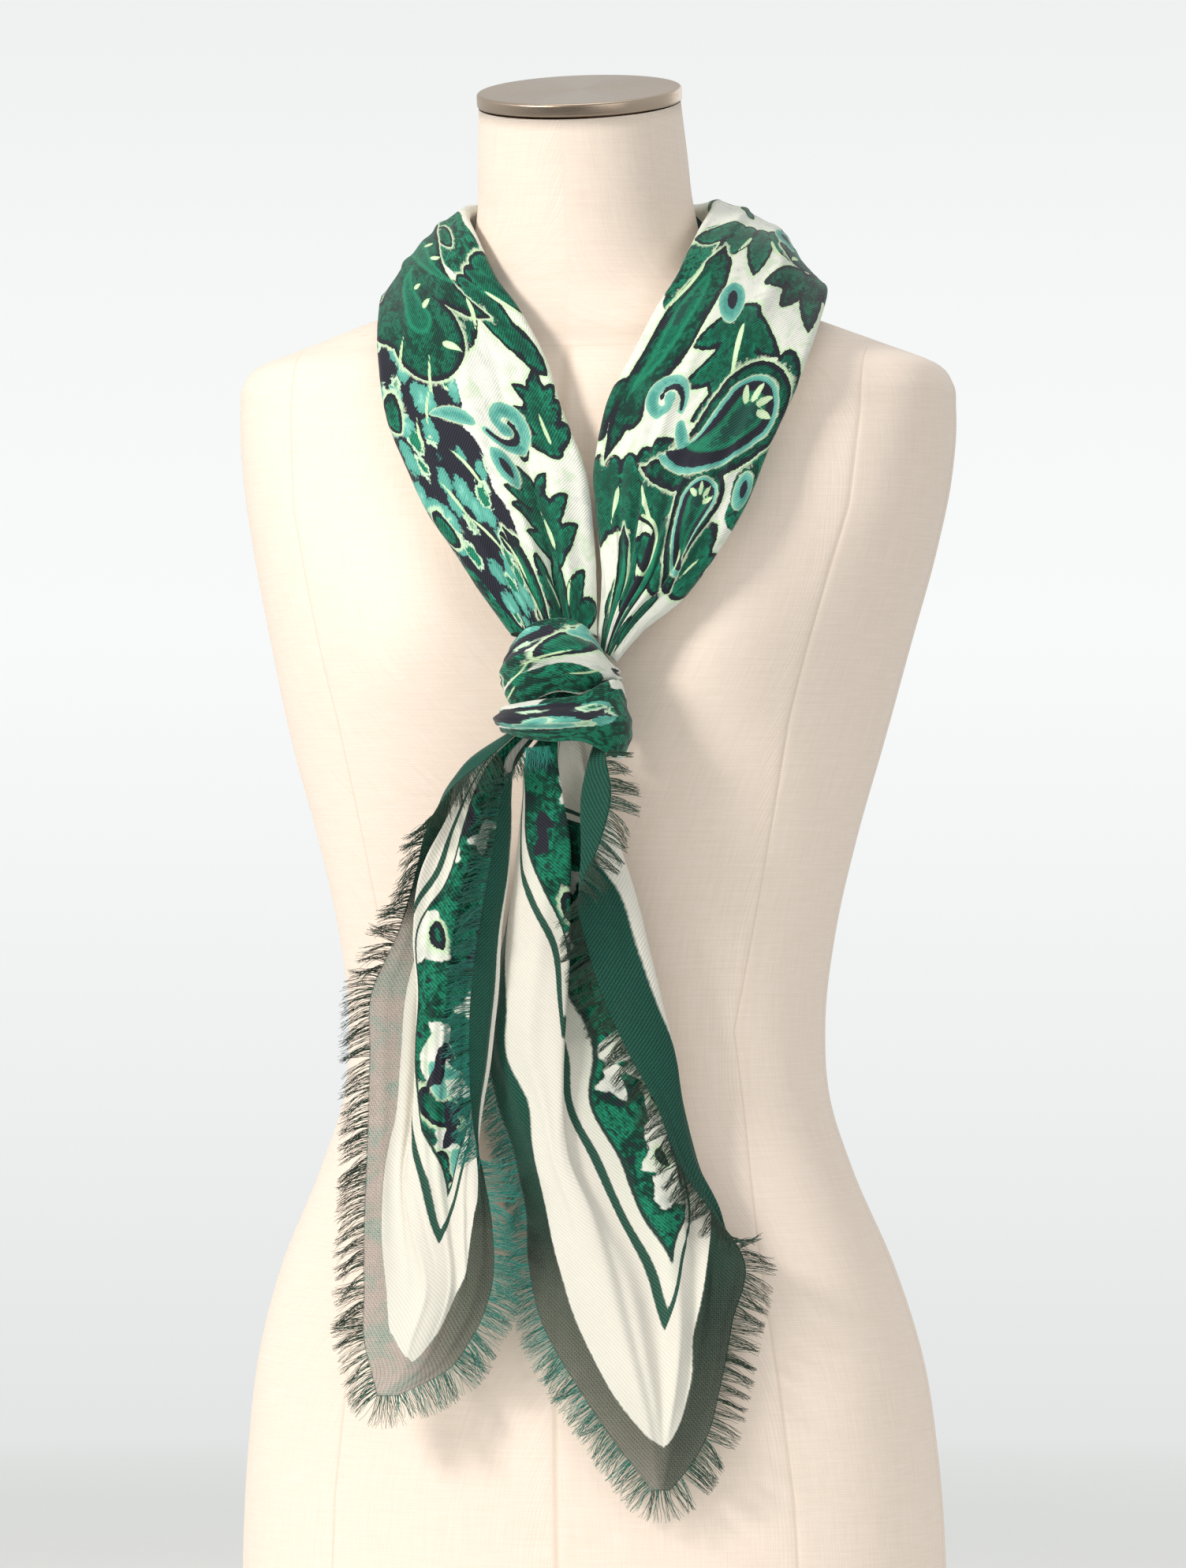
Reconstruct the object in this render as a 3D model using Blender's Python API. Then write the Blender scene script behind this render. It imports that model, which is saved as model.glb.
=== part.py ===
"""Square fringed scarf, looped round the neck of a limbless dress form and knotted on its chest.

The dress form stands on the XY plane, faces -Y and is symmetric about X = 0.
The scarf's tables are in millimetres and in a frame turned by LOOP_TURN about Z, the
direction in which its loop and tails hang square to the eye: x to the right, y to the back.
"""
import bpy
import bmesh
import numpy as np
from math import cos, pi, radians, sin

MM = 0.001                       # the tables below are in millimetres

# ---- driving dimensions, mm ------------------------------------------------------------
FORM_SIDES = 40                  # facets round the dress form
NECK_TOP_Z = 842                 # centre of the neck's top face
NECK_TILT = radians(13.5)        # the neck leans forward, and its cap with it
CAP_DIAMETER = 107
CAP_THICKNESS = 7.5
CAP_EDGE = 1.6                   # bevel on both rims of the cap
CAP_SIDES = 36
CAP_GAP = 0.3
BUST_POINT = {"x": 84, "z": 566, "rise": 17, "across": 44, "along": 52}

LOOP_TURN = radians(10)
CLOTH = 1.5                      # wall of the scarf, which the real gauze is far thinner than
SEAM_GAP = 0.4                   # between two stretches of the scarf
LOOP_ROWS = 12                   # sections in each stretch of the loop
LOOP_FACE_STEPS = 13
WRAP_ROWS, WRAP_COLUMNS = 15, 9
BAND_ROWS, BAND_COLUMNS = 17, 7
TAIL_ROWS = 25
TAIL_STEPS = 3                   # steps from one guide line of a tail to the next

# One row for each level of the dress form, from the base up:
# height, half width, depth of the section's middle, reach to the front, reach to the back,
# squareness of the section (2 is an ellipse), tilt in degrees
FORM_LEVELS = (
    (0,   181.0,   1, 103, 112, 2.2, 0),
    (3,   184.0,   1, 106, 115, 2.2, 0),
    (10,  185.5,   1, 107, 116, 2.2, 0),
    (75,  186.2,   0, 108, 118, 2.2, 0),
    (137, 182.4,  -4, 107, 120, 2.2, 0),
    (187, 175.5, -10, 102, 121, 2.2, 0),
    (236, 161.2, -18,  93, 116, 2.2, 0),
    (286, 139.9, -22,  86, 107, 2.2, 0),
    (324, 127.6, -21,  83, 101, 2.2, 0),
    (361, 125.1, -20,  82,  99, 2.2, 0),
    (411, 130.7, -20,  84, 102, 2.2, 0),
    (460, 141.9, -20,  89, 109, 2.2, 0),
    (510, 156.0, -18,  97, 114, 2.2, 0),
    (560, 168.3,  -8, 108, 112, 2.3, 0),
    (610, 180.3,   6, 116, 101, 2.4, 0),
    (650, 187.6,  13, 109,  92, 2.5, 0),
    (685, 189.7,  13,  98,  87, 2.5, 0),
    (698, 188.4,  12,  92,  84, 2.5, 0),
    (708, 180.5,  10,  86,  81, 2.4, 0),
    (718, 154.8,   6,  80,  76, 2.2, 1),
    (728, 127.2,   0,  75,  70, 2.1, 2),
    (740,  95.0,  -7,  68,  64, 2.0, 4),
    (752,  74.0, -12,  63,  60, 2.0, 6),
    (768,  61.5, -17,  60,  58, 2.0, 9),
    (786,  57.0, -22,  58,  57, 2.0, 12),
    (815,  54.6, -31,  56,  56, 2.0, 13.5),
    (NECK_TOP_Z, 52.6, -40, 55, 55, 2.0, 13.5),
)


# ---- shared helpers --------------------------------------------------------------------
def curve_through(knots, values, at):
    """Smooth curve through values given at rising knots, read at the places in at."""
    knots = np.asarray(knots, float)
    values = np.asarray(values, float)
    at = np.clip(np.asarray(at, float), knots[0], knots[-1])
    slopes = np.gradient(values, knots, axis=0)
    i = np.clip(np.searchsorted(knots, at, side="right") - 1, 0, len(knots) - 2)
    step = (knots[i + 1] - knots[i])
    t = (at - knots[i]) / step
    shape = (-1,) + (1,) * (values.ndim - 1)
    t, step = t.reshape(shape), step.reshape(shape)
    return ((2 * t**3 - 3 * t**2 + 1) * values[i] + (t**3 - 2 * t**2 + t) * step * slopes[i]
            + (-2 * t**3 + 3 * t**2) * values[i + 1] + (t**3 - t**2) * step * slopes[i + 1])


def material(name, color, roughness, metallic=0.0):
    """A Principled material; color is linear RGB."""
    made = bpy.data.materials.new(name)
    made.use_nodes = True
    shader = made.node_tree.nodes["Principled BSDF"]
    shader.inputs["Base Color"].default_value = (*color, 1)
    shader.inputs["Roughness"].default_value = roughness
    shader.inputs["Metallic"].default_value = metallic
    return made


def add_object(name, bm, finish, smooth=True):
    """Put a bmesh, whose coordinates are in millimetres, into the scene in metres."""
    for vert in bm.verts:
        vert.co *= MM
    bmesh.ops.recalc_face_normals(bm, faces=bm.faces)
    mesh = bpy.data.meshes.new(name)
    bm.to_mesh(mesh)
    bm.free()
    if smooth:
        mesh.shade_smooth()
        mesh.set_sharp_from_angle(angle=radians(50))
    mesh.materials.append(finish)
    made = bpy.data.objects.new(name, mesh)
    bpy.context.collection.objects.link(made)
    return made


# ---- dress form ------------------------------------------------------------------------
def form_ring(level, around):
    """Points of one section of the dress form, at the angles in around."""
    z, half_width, middle, front, back, square, tilt = level
    c, s = np.cos(around), np.sin(around)
    x = half_width * np.sign(c) * np.abs(c) ** (2 / square)
    reach = np.where(s < 0, front, back)
    out = reach * np.sign(s) * np.abs(s) ** (2 / square)
    bust = BUST_POINT["rise"] * np.exp(-((np.abs(x) - BUST_POINT["x"]) / BUST_POINT["across"]) ** 2
                                       - ((z - BUST_POINT["z"]) / BUST_POINT["along"]) ** 2)
    out = out - bust * np.clip(-s * 1.6, 0, 1)
    tilt = radians(tilt)
    return np.stack([x, middle + out * cos(tilt), z + out * sin(tilt)], axis=1)


def build_form_torso(finish):
    around = np.arange(FORM_SIDES) * 2 * pi / FORM_SIDES
    bm = bmesh.new()
    rings = [[bm.verts.new(p) for p in form_ring(level, around)] for level in FORM_LEVELS]
    for lower, upper in zip(rings, rings[1:]):
        for i in range(FORM_SIDES):
            j = (i + 1) % FORM_SIDES
            bm.faces.new((lower[i], lower[j], upper[j], upper[i]))
    bm.faces.new(rings[0][::-1])
    bm.faces.new(rings[-1])
    return add_object("form_torso", bm, finish)


def build_neck_cap(finish):
    bm = bmesh.new()
    bmesh.ops.create_cone(bm, cap_ends=True, segments=CAP_SIDES, depth=CAP_THICKNESS,
                          radius1=CAP_DIAMETER / 2, radius2=CAP_DIAMETER / 2)
    rims = [edge for edge in bm.edges if edge.verts[0].co.z == edge.verts[1].co.z]
    bmesh.ops.bevel(bm, geom=rims, offset=CAP_EDGE, segments=2, profile=0.5, affect="EDGES")
    cap = add_object("neck_cap", bm, finish)
    lift = CAP_GAP + CAP_THICKNESS / 2
    neck_middle = FORM_LEVELS[-1][2]
    cap.rotation_euler.x = NECK_TILT
    cap.location = (0, (neck_middle - lift * sin(NECK_TILT)) * MM,
                    (NECK_TOP_Z + lift * cos(NECK_TILT)) * MM)
    return cap


# ---- scarf: cloth made as walls through guide lines ------------------------------------
def cloth_wall(name, grid, finish):
    """A wall of cloth, CLOTH thick, on a grid of points that lie in the middle of the wall."""
    rows, columns, _ = grid.shape
    bm = bmesh.new()
    verts = [[bm.verts.new(p) for p in row] for row in grid]
    for i in range(rows - 1):
        for j in range(columns - 1):
            bm.faces.new((verts[i][j], verts[i + 1][j], verts[i + 1][j + 1], verts[i][j + 1]))
    wall = add_object(name, bm, finish)
    solidify = wall.modifiers.new("wall", "SOLIDIFY")
    solidify.thickness = CLOTH * MM
    solidify.offset = 0
    wall.parent = scarf
    return wall


# ---- scarf: loop -----------------------------------------------------------------------
# One row for each section of the band, from the knot up the left, behind the neck and down
# the right: inner edge x, y, z, outer edge x, y, z, radius of the rolled edges, swell of the
# face between them. The cloth turned under lies at the edges' depth, and the face before it.
LOOP_SECTIONS = (
    (2.5, -143, 561,  -41, -139, 562,  5.0, 2),
    (2.3, -139, 578,  -53, -133, 579,  5.5, 3),
    (1.8, -133, 600,  -67, -124, 600,  5.5, 4),
    (-0.5, -123, 627,  -84, -109, 625,  5.0, 5),
    (-4.8, -112, 651,  -96,  -92, 652,  4.5, 6),
    (-15, -100, 679, -105,  -78, 675,  4.0, 6),
    (-23,  -88, 705, -109,  -67, 698,  3.8, 6),
    (-36,  -80, 730, -110,  -53, 717,  3.6, 6),
    (-48,  -71, 747, -109,  -34, 730,  3.5, 5),
    (-59,  -49, 771, -107,   -9, 739,  3.5, 4),
    (-63,  -18, 786, -101,   28, 741,  3.5, 4),
    (-50,   20, 791,  -84,   64, 734,  3.5, 5),
    (-28,   38, 793,  -46,   87, 727,  3.5, 7),
    (0,     44, 793,    0,   96, 724,  3.5, 7),
    (30,    39, 792,   48,   90, 727,  3.5, 7),
    (53,    18, 791,   86,   66, 734,  3.5, 8),
    (61,   -14, 790,  106,   28, 743,  3.6, 10),
    (54,   -53, 775,  117,  -12, 744,  3.6, 9),
    (43,   -84, 750,  120,  -47, 738,  3.8, 7),
    (31,   -91, 728,  111,  -95, 709,  3.8, 6),
    (18,   -95, 703,  101, -103, 683,  4.0, 6),
    (7,   -103, 680,   91, -112, 660,  4.0, 6),
    (1,   -113, 647,   79, -126, 630,  4.5, 5),
    (1.8, -124, 625,   64, -137, 604,  5.0, 4),
    (4.1, -135, 600,   46, -142, 581,  5.0, 3),
    (4.7, -142, 580,   29, -146, 566,  4.0, 2),
    (5.1, -146, 565,   20, -147, 556,  3.0, 1),
)
LOOP_STRETCHES = {"loop_left": (0, 9), "loop_back": (9, 17), "loop_right": (17, 26)}
SECTION_SPACING = 24             # from one section to the next, at the ends of the stretches
FULL_WIDTH = 60                  # where the band is narrower, its creases are lower too
LOOP_LAP = 0.30                  # share of the width that each rolled edge turns back under
ROLL_STEPS = 4                   # facets round each rolled edge

# Creases on the band's face. Each runs between two sections, at a share of the width from the
# inner edge at both ends, and stands up by a height over a half width, steeper on one side.
LOOP_CREASES = (
    # from, to, share at from, share at to, height, half width, lean
    (-1, 5.5, 0.42, 0.44, 5.0, 0.17, 0.6),
    (-1, 4.0, 0.15, 0.12, 3.5, 0.09, 0.0),
    (20, 27, 0.22, 0.26, 3.0, 0.10, 0.0),
    (21, 27, 0.46, 0.50, 3.5, 0.11, -0.3),
    (20, 27, 0.72, 0.74, 3.5, 0.11, -0.3),
    (9, 18, 0.45, 0.50, 3.0, 0.16, 0.3),
)


def crease_height(place, share):
    """Height of all the creases at a section and at shares of the width."""
    height = np.zeros_like(share)
    for start, end, share_start, share_end, tall, half, lean in LOOP_CREASES:
        along = (place - start) / (end - start)
        if 0 < along < 1:
            off = (share - share_start - (share_end - share_start) * along) / half
            off = np.where(off < 0, off / (1 - lean), off / (1 + lean))
            height += tall * sin(pi * along) ** 0.7 * np.exp(-off ** 2 * 2)
    return height


def band_profile(width, roll, swell, place, face_steps):
    """Section of the folded band: across from the inner edge, and out from the edges turned under."""
    lap = width * LOOP_LAP
    turn = np.linspace(0, pi, ROLL_STEPS + 1)[1:-1]
    share = np.linspace(0, 1, face_steps)
    face = roll + share * (width - 2 * roll)
    lift = swell * np.sin(pi * share) + crease_height(place, share) * min(1, width / FULL_WIDTH)
    across = np.concatenate(([lap, roll], roll - roll * np.sin(turn), face,
                             width - roll + roll * np.sin(turn), [width - roll, width - lap]))
    out = np.concatenate(([0, 0], roll - roll * np.cos(turn), 2 * roll + lift,
                          roll + roll * np.cos(turn), [0, 0]))
    return across, out


def loop_grid(first, last, rows, face_steps):
    sections = np.array(LOOP_SECTIONS, float)
    numbers = np.arange(len(sections))
    grid = []
    for place in np.linspace(first, last, rows):
        row = curve_through(numbers, sections, [place])[0]
        ahead = curve_through(numbers, sections, [min(place + 0.05, numbers[-1])])[0]
        behind = curve_through(numbers, sections, [max(place - 0.05, 0)])[0]
        inner, outer, roll, swell = row[:3], row[3:6], row[6], row[7]
        along = (ahead[:3] + ahead[3:6]) - (behind[:3] + behind[3:6])
        chord = outer - inner
        width = np.linalg.norm(chord)
        outward = np.cross(along, chord)
        outward /= np.linalg.norm(outward)
        across, out = band_profile(width, roll, swell, place, face_steps)
        grid.append(inner + across[:, None] * chord / width + out[:, None] * outward)
    return np.array(grid)


# ---- scarf: knot -----------------------------------------------------------------------
KNOT_MIDDLE = (-15, -142, 541)
KNOT_CORE = (23, 16, 18)         # half sizes of the rounded solid of the hidden layers
CORE_SIDES, CORE_RINGS = 16, 10
LAYER_DEPTH, LAYER_TURNS = 0.05, 7      # ripples round it, where its layers show at the edges
# One row for each station round the knot, from its left back over the front to its right
# back: x, y, lower edge z, upper edge z, swell of the cloth between them.
KNOT_WRAP = (
    (-34, -122, 532, 554, 1),
    (-41, -134, 528, 556, 3),
    (-41, -148, 527, 558, 4),
    (-33, -158, 530, 567, 7),
    (-18, -162, 535, 571, 9),
    (-4,  -160, 533, 567, 8),
    (4,   -153, 533, 556, 5),
    (9,   -143, 537, 549, 3),
    (9,   -130, 539, 546, 1),
)
KNOT_BAND = (
    (-37, -122, 514, 525, 1),
    (-45, -135, 514, 526, 2),
    (-46, -149, 515, 526, 2),
    (-38, -163, 512, 528, 3),
    (-22, -171, 510, 530, 4),
    (-6,  -171, 510, 532, 5),
    (6,   -165, 505, 538, 4),
    (14,  -155, 501, 539, 3),
    (16,  -142, 502, 530, 2),
    (12,  -130, 506, 524, 1),
)
# Creases that run round the knot: share of the cloth's height where they start at the left and
# where they end at the right, how far they stand up, half width as a share of the height
WRAP_CREASES = ((0.75, 0.30, 2.2, 0.14), (0.35, 0.75, 1.8, 0.12))
BAND_CREASES = ((0.60, 0.30, 1.8, 0.18),)


def knot_grid(stations, creases, rows, columns):
    table = np.array(stations, float)
    numbers = np.arange(len(table))
    axis = np.array(KNOT_MIDDLE[:2], float)
    grid = []
    for share_round in np.linspace(0, 1, rows):
        x, y, low, high, swell = curve_through(numbers, table, [share_round * numbers[-1]])[0]
        outward = np.array([x, y]) - axis
        outward /= np.linalg.norm(outward)
        share = np.linspace(0, 1, columns)
        out = swell * np.sin(pi * share)
        for left, right, tall, half in creases:
            middle = left + (right - left) * share_round
            out += tall * np.exp(-((share - middle) / half) ** 2) * np.sin(pi * share)
        grid.append(np.stack([x + outward[0] * out, y + outward[1] * out,
                              low + (high - low) * share], axis=1))
    return np.array(grid)


def build_knot_core(finish):
    bm = bmesh.new()
    bmesh.ops.create_uvsphere(bm, u_segments=CORE_SIDES, v_segments=CORE_RINGS, radius=1)
    for vert in bm.verts:
        layer = 1 + LAYER_DEPTH * cos(LAYER_TURNS * vert.co.z)
        vert.co.x = KNOT_MIDDLE[0] + vert.co.x * KNOT_CORE[0] * layer
        vert.co.y = KNOT_MIDDLE[1] + vert.co.y * KNOT_CORE[1] * layer
        vert.co.z = KNOT_MIDDLE[2] + vert.co.z * KNOT_CORE[2]
    core = add_object("knot_core", bm, finish)
    core.parent = scarf


# ---- scarf: tails ----------------------------------------------------------------------
# Each tail is a wall through guide lines that run from the knot down to the corner. A row is a
# level; its columns are how far right each guide lies, and how far forward of TAIL_PLANE.
TAIL_PLANE = (                   # height, y
    (120, -123), (180, -123), (250, -121), (317, -120), (381, -123), (431, -129), (481, -137),
    (520, -141),
)
LEFT_RIGHTWARD = (
    # height, outer edge, turn, under, crest, valley, bulge, dip, flank, fold's back, fold's
    # front, inner edge
    (514, -38, -42, -42, -40, -38, -36, -34.5, -33, -31, -29, -27),
    (501, -53, -62, -60, -55, -52, -49, -47, -44.5, -42, -39, -37),
    (487, -70, -74, -64, -66, -61, -55, -50, -46, -43, -41, -45),
    (469, -83, -79, -70, -76, -68, -60, -54, -49, -43, -41, -48),
    (445, -90, -84, -74, -89, -77, -67, -60, -52, -44, -42, -52),
    (413, -99, -90, -79, -93, -84, -74, -66, -57, -48, -46, -58),
    (381, -113, -97, -83, -91, -85, -78, -70, -60, -50, -48, -62),
    (349, -114, -99, -85, -92, -86, -79, -72, -63, -54, -52, -63),
    (317, -115, -101, -90, -93, -87, -80, -73, -65, -58, -57, -61),
    (289, -116, -102, -95, -92, -86, -79, -72, -66, -61, -58, -56),
    (261, -117, -101, -93, -87, -81, -75, -70, -65, -60, -55, -51),
    (229, -117, -99, -89, -82, -77, -73, -69, -65, -61, -56, -52),
    (205, -117, -104, -96, -90, -85, -81, -77, -74, -70, -66, -62),
    (187, -113, -105, -101, -97, -94, -91, -89, -86, -83, -80, -77),
    (176, -110, -109, -108, -107, -106, -105, -104, -103, -102, -101, -100),
)
LEFT_FORWARD = (
    (514, 16, 13, 8, 5, 4, 4, 5, 6, 7, 8, 9),
    (501, 21, 16, 6, 5, 8, 9, 8, 7, 7, 8, 11),
    (487, 18, 8, -1, 12, 7, 13, 7, 8, 4, 9, 14),
    (469, 4, 0, -4, 10, 6, 15, 6, 8, 4, 11, 17),
    (445, 0, -3, -5, 9, 6, 15, 7, 10, 5, 13, 19),
    (413, -1, -4, -5, 8, 7, 14, 9, 12, 7, 14, 19),
    (381, 0, -3, -4, 8, 9, 14, 11, 12, 8, 14, 19),
    (349, 0, -3, -4, 8, 9, 13, 12, 12, 8, 14, 19),
    (317, 0, -2, -3, 7, 9, 12, 12, 12, 9, 13, 17),
    (289, 1, -1, 0, 7, 10, 12, 11, 10, 10, 10, 9),
    (261, 2, 2, 4, 8, 10, 11, 11, 10, 10, 10, 10),
    (229, 3, 5, 7, 9, 10, 10, 10, 10, 9, 9, 9),
    (205, 4, 6, 8, 9, 10, 9, 8, 8, 8, 8, 8),
    (187, 5, 6, 7, 8, 8, 8, 7, 7, 6, 6, 6),
    (176, 6, 6, 6, 6, 6, 6, 6, 6, 6, 6, 6),
)
RIGHT_RIGHTWARD = (
    # height, inner edge, wave, crest, tuck, panel, second crest, second tuck, fold, turn, outer
    # edge
    (514, -23, -24, -19, -16, -12, -8, -4, 0, 3, 5),
    (502, -29, -34, -19, -18, -12, -6, -3, 5, -3, 6),
    (481, -33, -36, -14, -18, -8, -1, -3, 8, -9, 9),
    (457, -37, -37, -10, -16, -4, 6, 4, 16, -8, 3),
    (431, -42, -38, -10, -16, -1, 13, 10, 25, -4, -8),
    (405, -46, -39, -10, -16, 1, 19, 16, 31, 9, -3),
    (377, -51, -40, -12, -18, 3, 25, 22, 38, 19, 6),
    (349, -54, -39, -14, -19, 5, 31, 28, 44, 30, 19),
    (325, -49, -30, -15, -17, 9, 37, 34, 47, 39, 32),
    (297, -40, -23, -14, -10, 14, 42, 40, 54, 48, 42),
    (269, -34, -15, -3, 6, 25, 46, 46, 62, 65, 61),
    (245, -33, -11, 5, 15, 34, 46, 50, 60, 69, 77),
    (213, -26, -3, 13, 23, 37, 46, 51, 58, 64, 71),
    (181, -8, 9, 21, 28, 38, 43, 48, 54, 60, 65),
    (153, 11, 21, 28, 31, 36, 39, 43, 47, 52, 57),
    (137, 23, 28, 31, 32, 35, 37, 39, 41, 44, 47),
    (128, 30, 31, 32, 33, 34, 35, 36, 37, 38, 39),
)
RIGHT_FORWARD = (
    (514, 4, 9, 13, 12, 9, 8, 7, 8, 12, 16),
    (502, 1, 10, 18, 10, 5, 8, 4, 9, 17, 24),
    (481, 0, 11, 17, 8, 2, 6, 0, 8, 20, 27),
    (457, -2, 11, 17, 8, 3, 7, 0, 8, 21, 27),
    (431, -4, 12, 17, 8, 4, 8, 2, 8, 21, 25),
    (405, -5, 12, 18, 9, 4, 8, 2, 8, 17, 21),
    (377, -6, 13, 18, 9, 5, 9, 3, 7, 16, 19),
    (349, -4, 12, 18, 10, 6, 10, 4, 6, 14, 17),
    (325, 0, 13, 17, 11, 7, 11, 5, 5, 12, 16),
    (297, 2, 14, 17, 13, 8, 11, 6, 4, 10, 14),
    (269, 3, 14, 17, 14, 10, 11, 8, 4, 6, 10),
    (245, 4, 13, 16, 14, 11, 11, 9, 7, 7, 8),
    (213, 5, 12, 15, 14, 12, 11, 10, 9, 8, 7),
    (181, 7, 12, 14, 13, 12, 11, 10, 9, 8, 7),
    (153, 8, 11, 12, 12, 11, 11, 10, 9, 8, 8),
    (137, 9, 10, 11, 11, 10, 10, 9, 9, 8, 8),
    (128, 9, 9, 9, 9, 9, 9, 9, 9, 9, 9),
)
TAIL_CROWDING = 1.4              # rows lie closer together towards the corner
FOLD_ROUNDING = 0.42             # how round the folds are, as a share of a guide's spacing
FOLD_SAMPLES = 6                 # places read between two guides, to round the folds


def round_folds(values, steps):
    """Values at the guides of each row, carried across them as a curve with rounded turns."""
    guides = np.arange(values.shape[1])
    fine = FOLD_SAMPLES
    near = np.arange(-fine, guides[-1] * fine + fine + 1) / fine
    curve = curve_through(guides, values.T, near)
    for past in range(fine):                      # beyond each edge the cloth is carried on
        curve[past] = 2 * curve[fine] - curve[2 * fine - past]
        curve[-1 - past] = 2 * curve[-1 - fine] - curve[-1 - 2 * fine + past]
    at = np.linspace(0, guides[-1], guides[-1] * steps + 1)
    weight = np.exp(-((at[:, None] - near[None, :]) / FOLD_ROUNDING) ** 2)
    return ((weight / weight.sum(axis=1)[:, None]) @ curve).T


def tail_grid(rightward, forward, rows, steps):
    """Points of a tail: rows down its length, steps between one guide and the next."""
    rightward = np.array(rightward, float)[::-1]
    forward = np.array(forward, float)[::-1]
    share = 1 - (1 - np.linspace(0, 1, rows)) ** TAIL_CROWDING
    heights = rightward[-1, 0] + (rightward[0, 0] - rightward[-1, 0]) * share
    x = curve_through(rightward[:, 0], rightward[:, 1:], heights)
    ahead = curve_through(forward[:, 0], forward[:, 1:], heights)
    plane = np.array(TAIL_PLANE, float)
    y = curve_through(plane[:, 0], plane[:, 1], heights)[:, None] - ahead
    x, y = round_folds(x, steps), round_folds(y, steps)
    z = np.repeat(heights[:, None], x.shape[1], axis=1)
    return np.stack([x, y, z], axis=2)


# ---- scarf: fringe ---------------------------------------------------------------------
FRINGE_LENGTH = 21
LOCK_PITCH = 9.3
LOCK_WIDTH = 4.6
BACKING_WIDTH = 1.4
FRINGE_GAP = 0.8                 # from the cloth's edge to the backing
LOCK_DROOP = 0.35                # how far a lock turns down from square to its edge
LOCK_SWAY = 0.15                 # how unevenly the locks lie
SHORTEST_LOCK = 0.85             # of FRINGE_LENGTH
KNEE_TAPER = 0.7                 # a lock's width at its middle, as a share of its root's


def fringe(name, edge, beside, lean, finish, seed):
    """Locks along an edge of a tail, on a narrow backing parted from the cloth.

    edge holds the points of the cloth's edge and beside the next line of points into it.
    lean turns the locks forward (or back), to pass before (or behind) what hangs beside them.
    """
    chance = np.random.default_rng(seed)
    along = np.gradient(edge, axis=0)
    along /= np.linalg.norm(along, axis=1)[:, None]
    facets = np.cross(np.diff(edge, axis=0), (edge - beside)[:-1] + (edge - beside)[1:])
    facets /= np.linalg.norm(facets, axis=1)[:, None]
    facing = np.concatenate((facets[:1], facets[1:] + facets[:-1], facets[-1:]))
    outward = np.cross(facing, along)
    outward /= np.linalg.norm(outward, axis=1)[:, None]
    facing = np.cross(along, outward)
    length = np.concatenate(([0], np.cumsum(np.linalg.norm(np.diff(edge, axis=0), axis=1))))
    locks = int(length[-1] / LOCK_PITCH)
    pitch = length[-1] / locks
    gap = pitch - LOCK_WIDTH
    stops = np.array([k * pitch + part for k in range(locks) for part in (gap / 2, pitch - gap / 2)])
    stops = np.concatenate(([0], stops, [length[-1]]))

    def read(values):
        return np.stack([np.interp(stops, length, values[:, i]) for i in range(3)], axis=1)

    line, out, face = read(edge), read(outward), read(facing)
    out /= np.linalg.norm(out, axis=1)[:, None]
    face /= np.linalg.norm(face, axis=1)[:, None]
    half = CLOTH / 2
    near = line + out * FRINGE_GAP
    far = near + out * BACKING_WIDTH
    bm = bmesh.new()
    corners = [[bm.verts.new(p) for p in ring] for ring in
               zip(near - face * half, near + face * half, far + face * half, far - face * half)]
    last = len(corners) - 1
    for i in range(last):
        a, b = corners[i], corners[i + 1]
        for side in (0, 1, 3):
            other = (side + 1) % 4
            bm.faces.new((a[side], a[other], b[other], b[side]))
        if i % 2 == 0:
            bm.faces.new((a[2], a[3], b[3], b[2]))
        else:
            add_lock(bm, (a[2], a[3], b[3], b[2]), out[i] + out[i + 1], lean, chance)
    bm.faces.new(corners[0])
    bm.faces.new(corners[last][::-1])
    made = add_object(name, bm, finish, smooth=False)
    made.parent = scarf
    return made


def add_lock(bm, root, outward, lean, chance):
    """A tapered lock of four sides that grows from the four root points."""
    outward = np.array(outward) / np.linalg.norm(outward)
    reach = FRINGE_LENGTH * chance.uniform(SHORTEST_LOCK, 1)
    sway = chance.uniform(-LOCK_SWAY, LOCK_SWAY, 3) * (1, 0.3, 1)
    first = outward + sway
    second = outward + sway * 2 + np.array([0, -lean, -LOCK_DROOP])
    first, second = first / np.linalg.norm(first), second / np.linalg.norm(second)
    base = [np.array(v.co) for v in root]
    middle = sum(base) / 4
    bend = middle + first * reach / 2
    knee = [bm.verts.new(bend + (p - middle) * KNEE_TAPER) for p in base]
    tip = bm.verts.new(bend + second * reach / 2)
    for k in range(4):
        n = (k + 1) % 4
        bm.faces.new((root[k], root[n], knee[n], knee[k]))
        bm.faces.new((knee[k], knee[n], tip))


for old in list(bpy.data.objects):
    bpy.data.objects.remove(old, do_unlink=True)

linen = material("linen_cover", (0.80, 0.68, 0.55), 0.9)
nickel = material("brushed_nickel", (0.45, 0.39, 0.34), 0.35, 1.0)
print_gauze = material("printed_gauze", (0.06, 0.30, 0.22), 0.85)
cream_gauze = material("cream_gauze", (0.80, 0.78, 0.66), 0.85)
fringe_yarn = material("fringe_yarn", (0.05, 0.20, 0.16), 0.9)

build_form_torso(linen)
build_neck_cap(nickel)

scarf = bpy.data.objects.new("scarf", None)
scarf.rotation_euler.z = LOOP_TURN
bpy.context.collection.objects.link(scarf)

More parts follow.
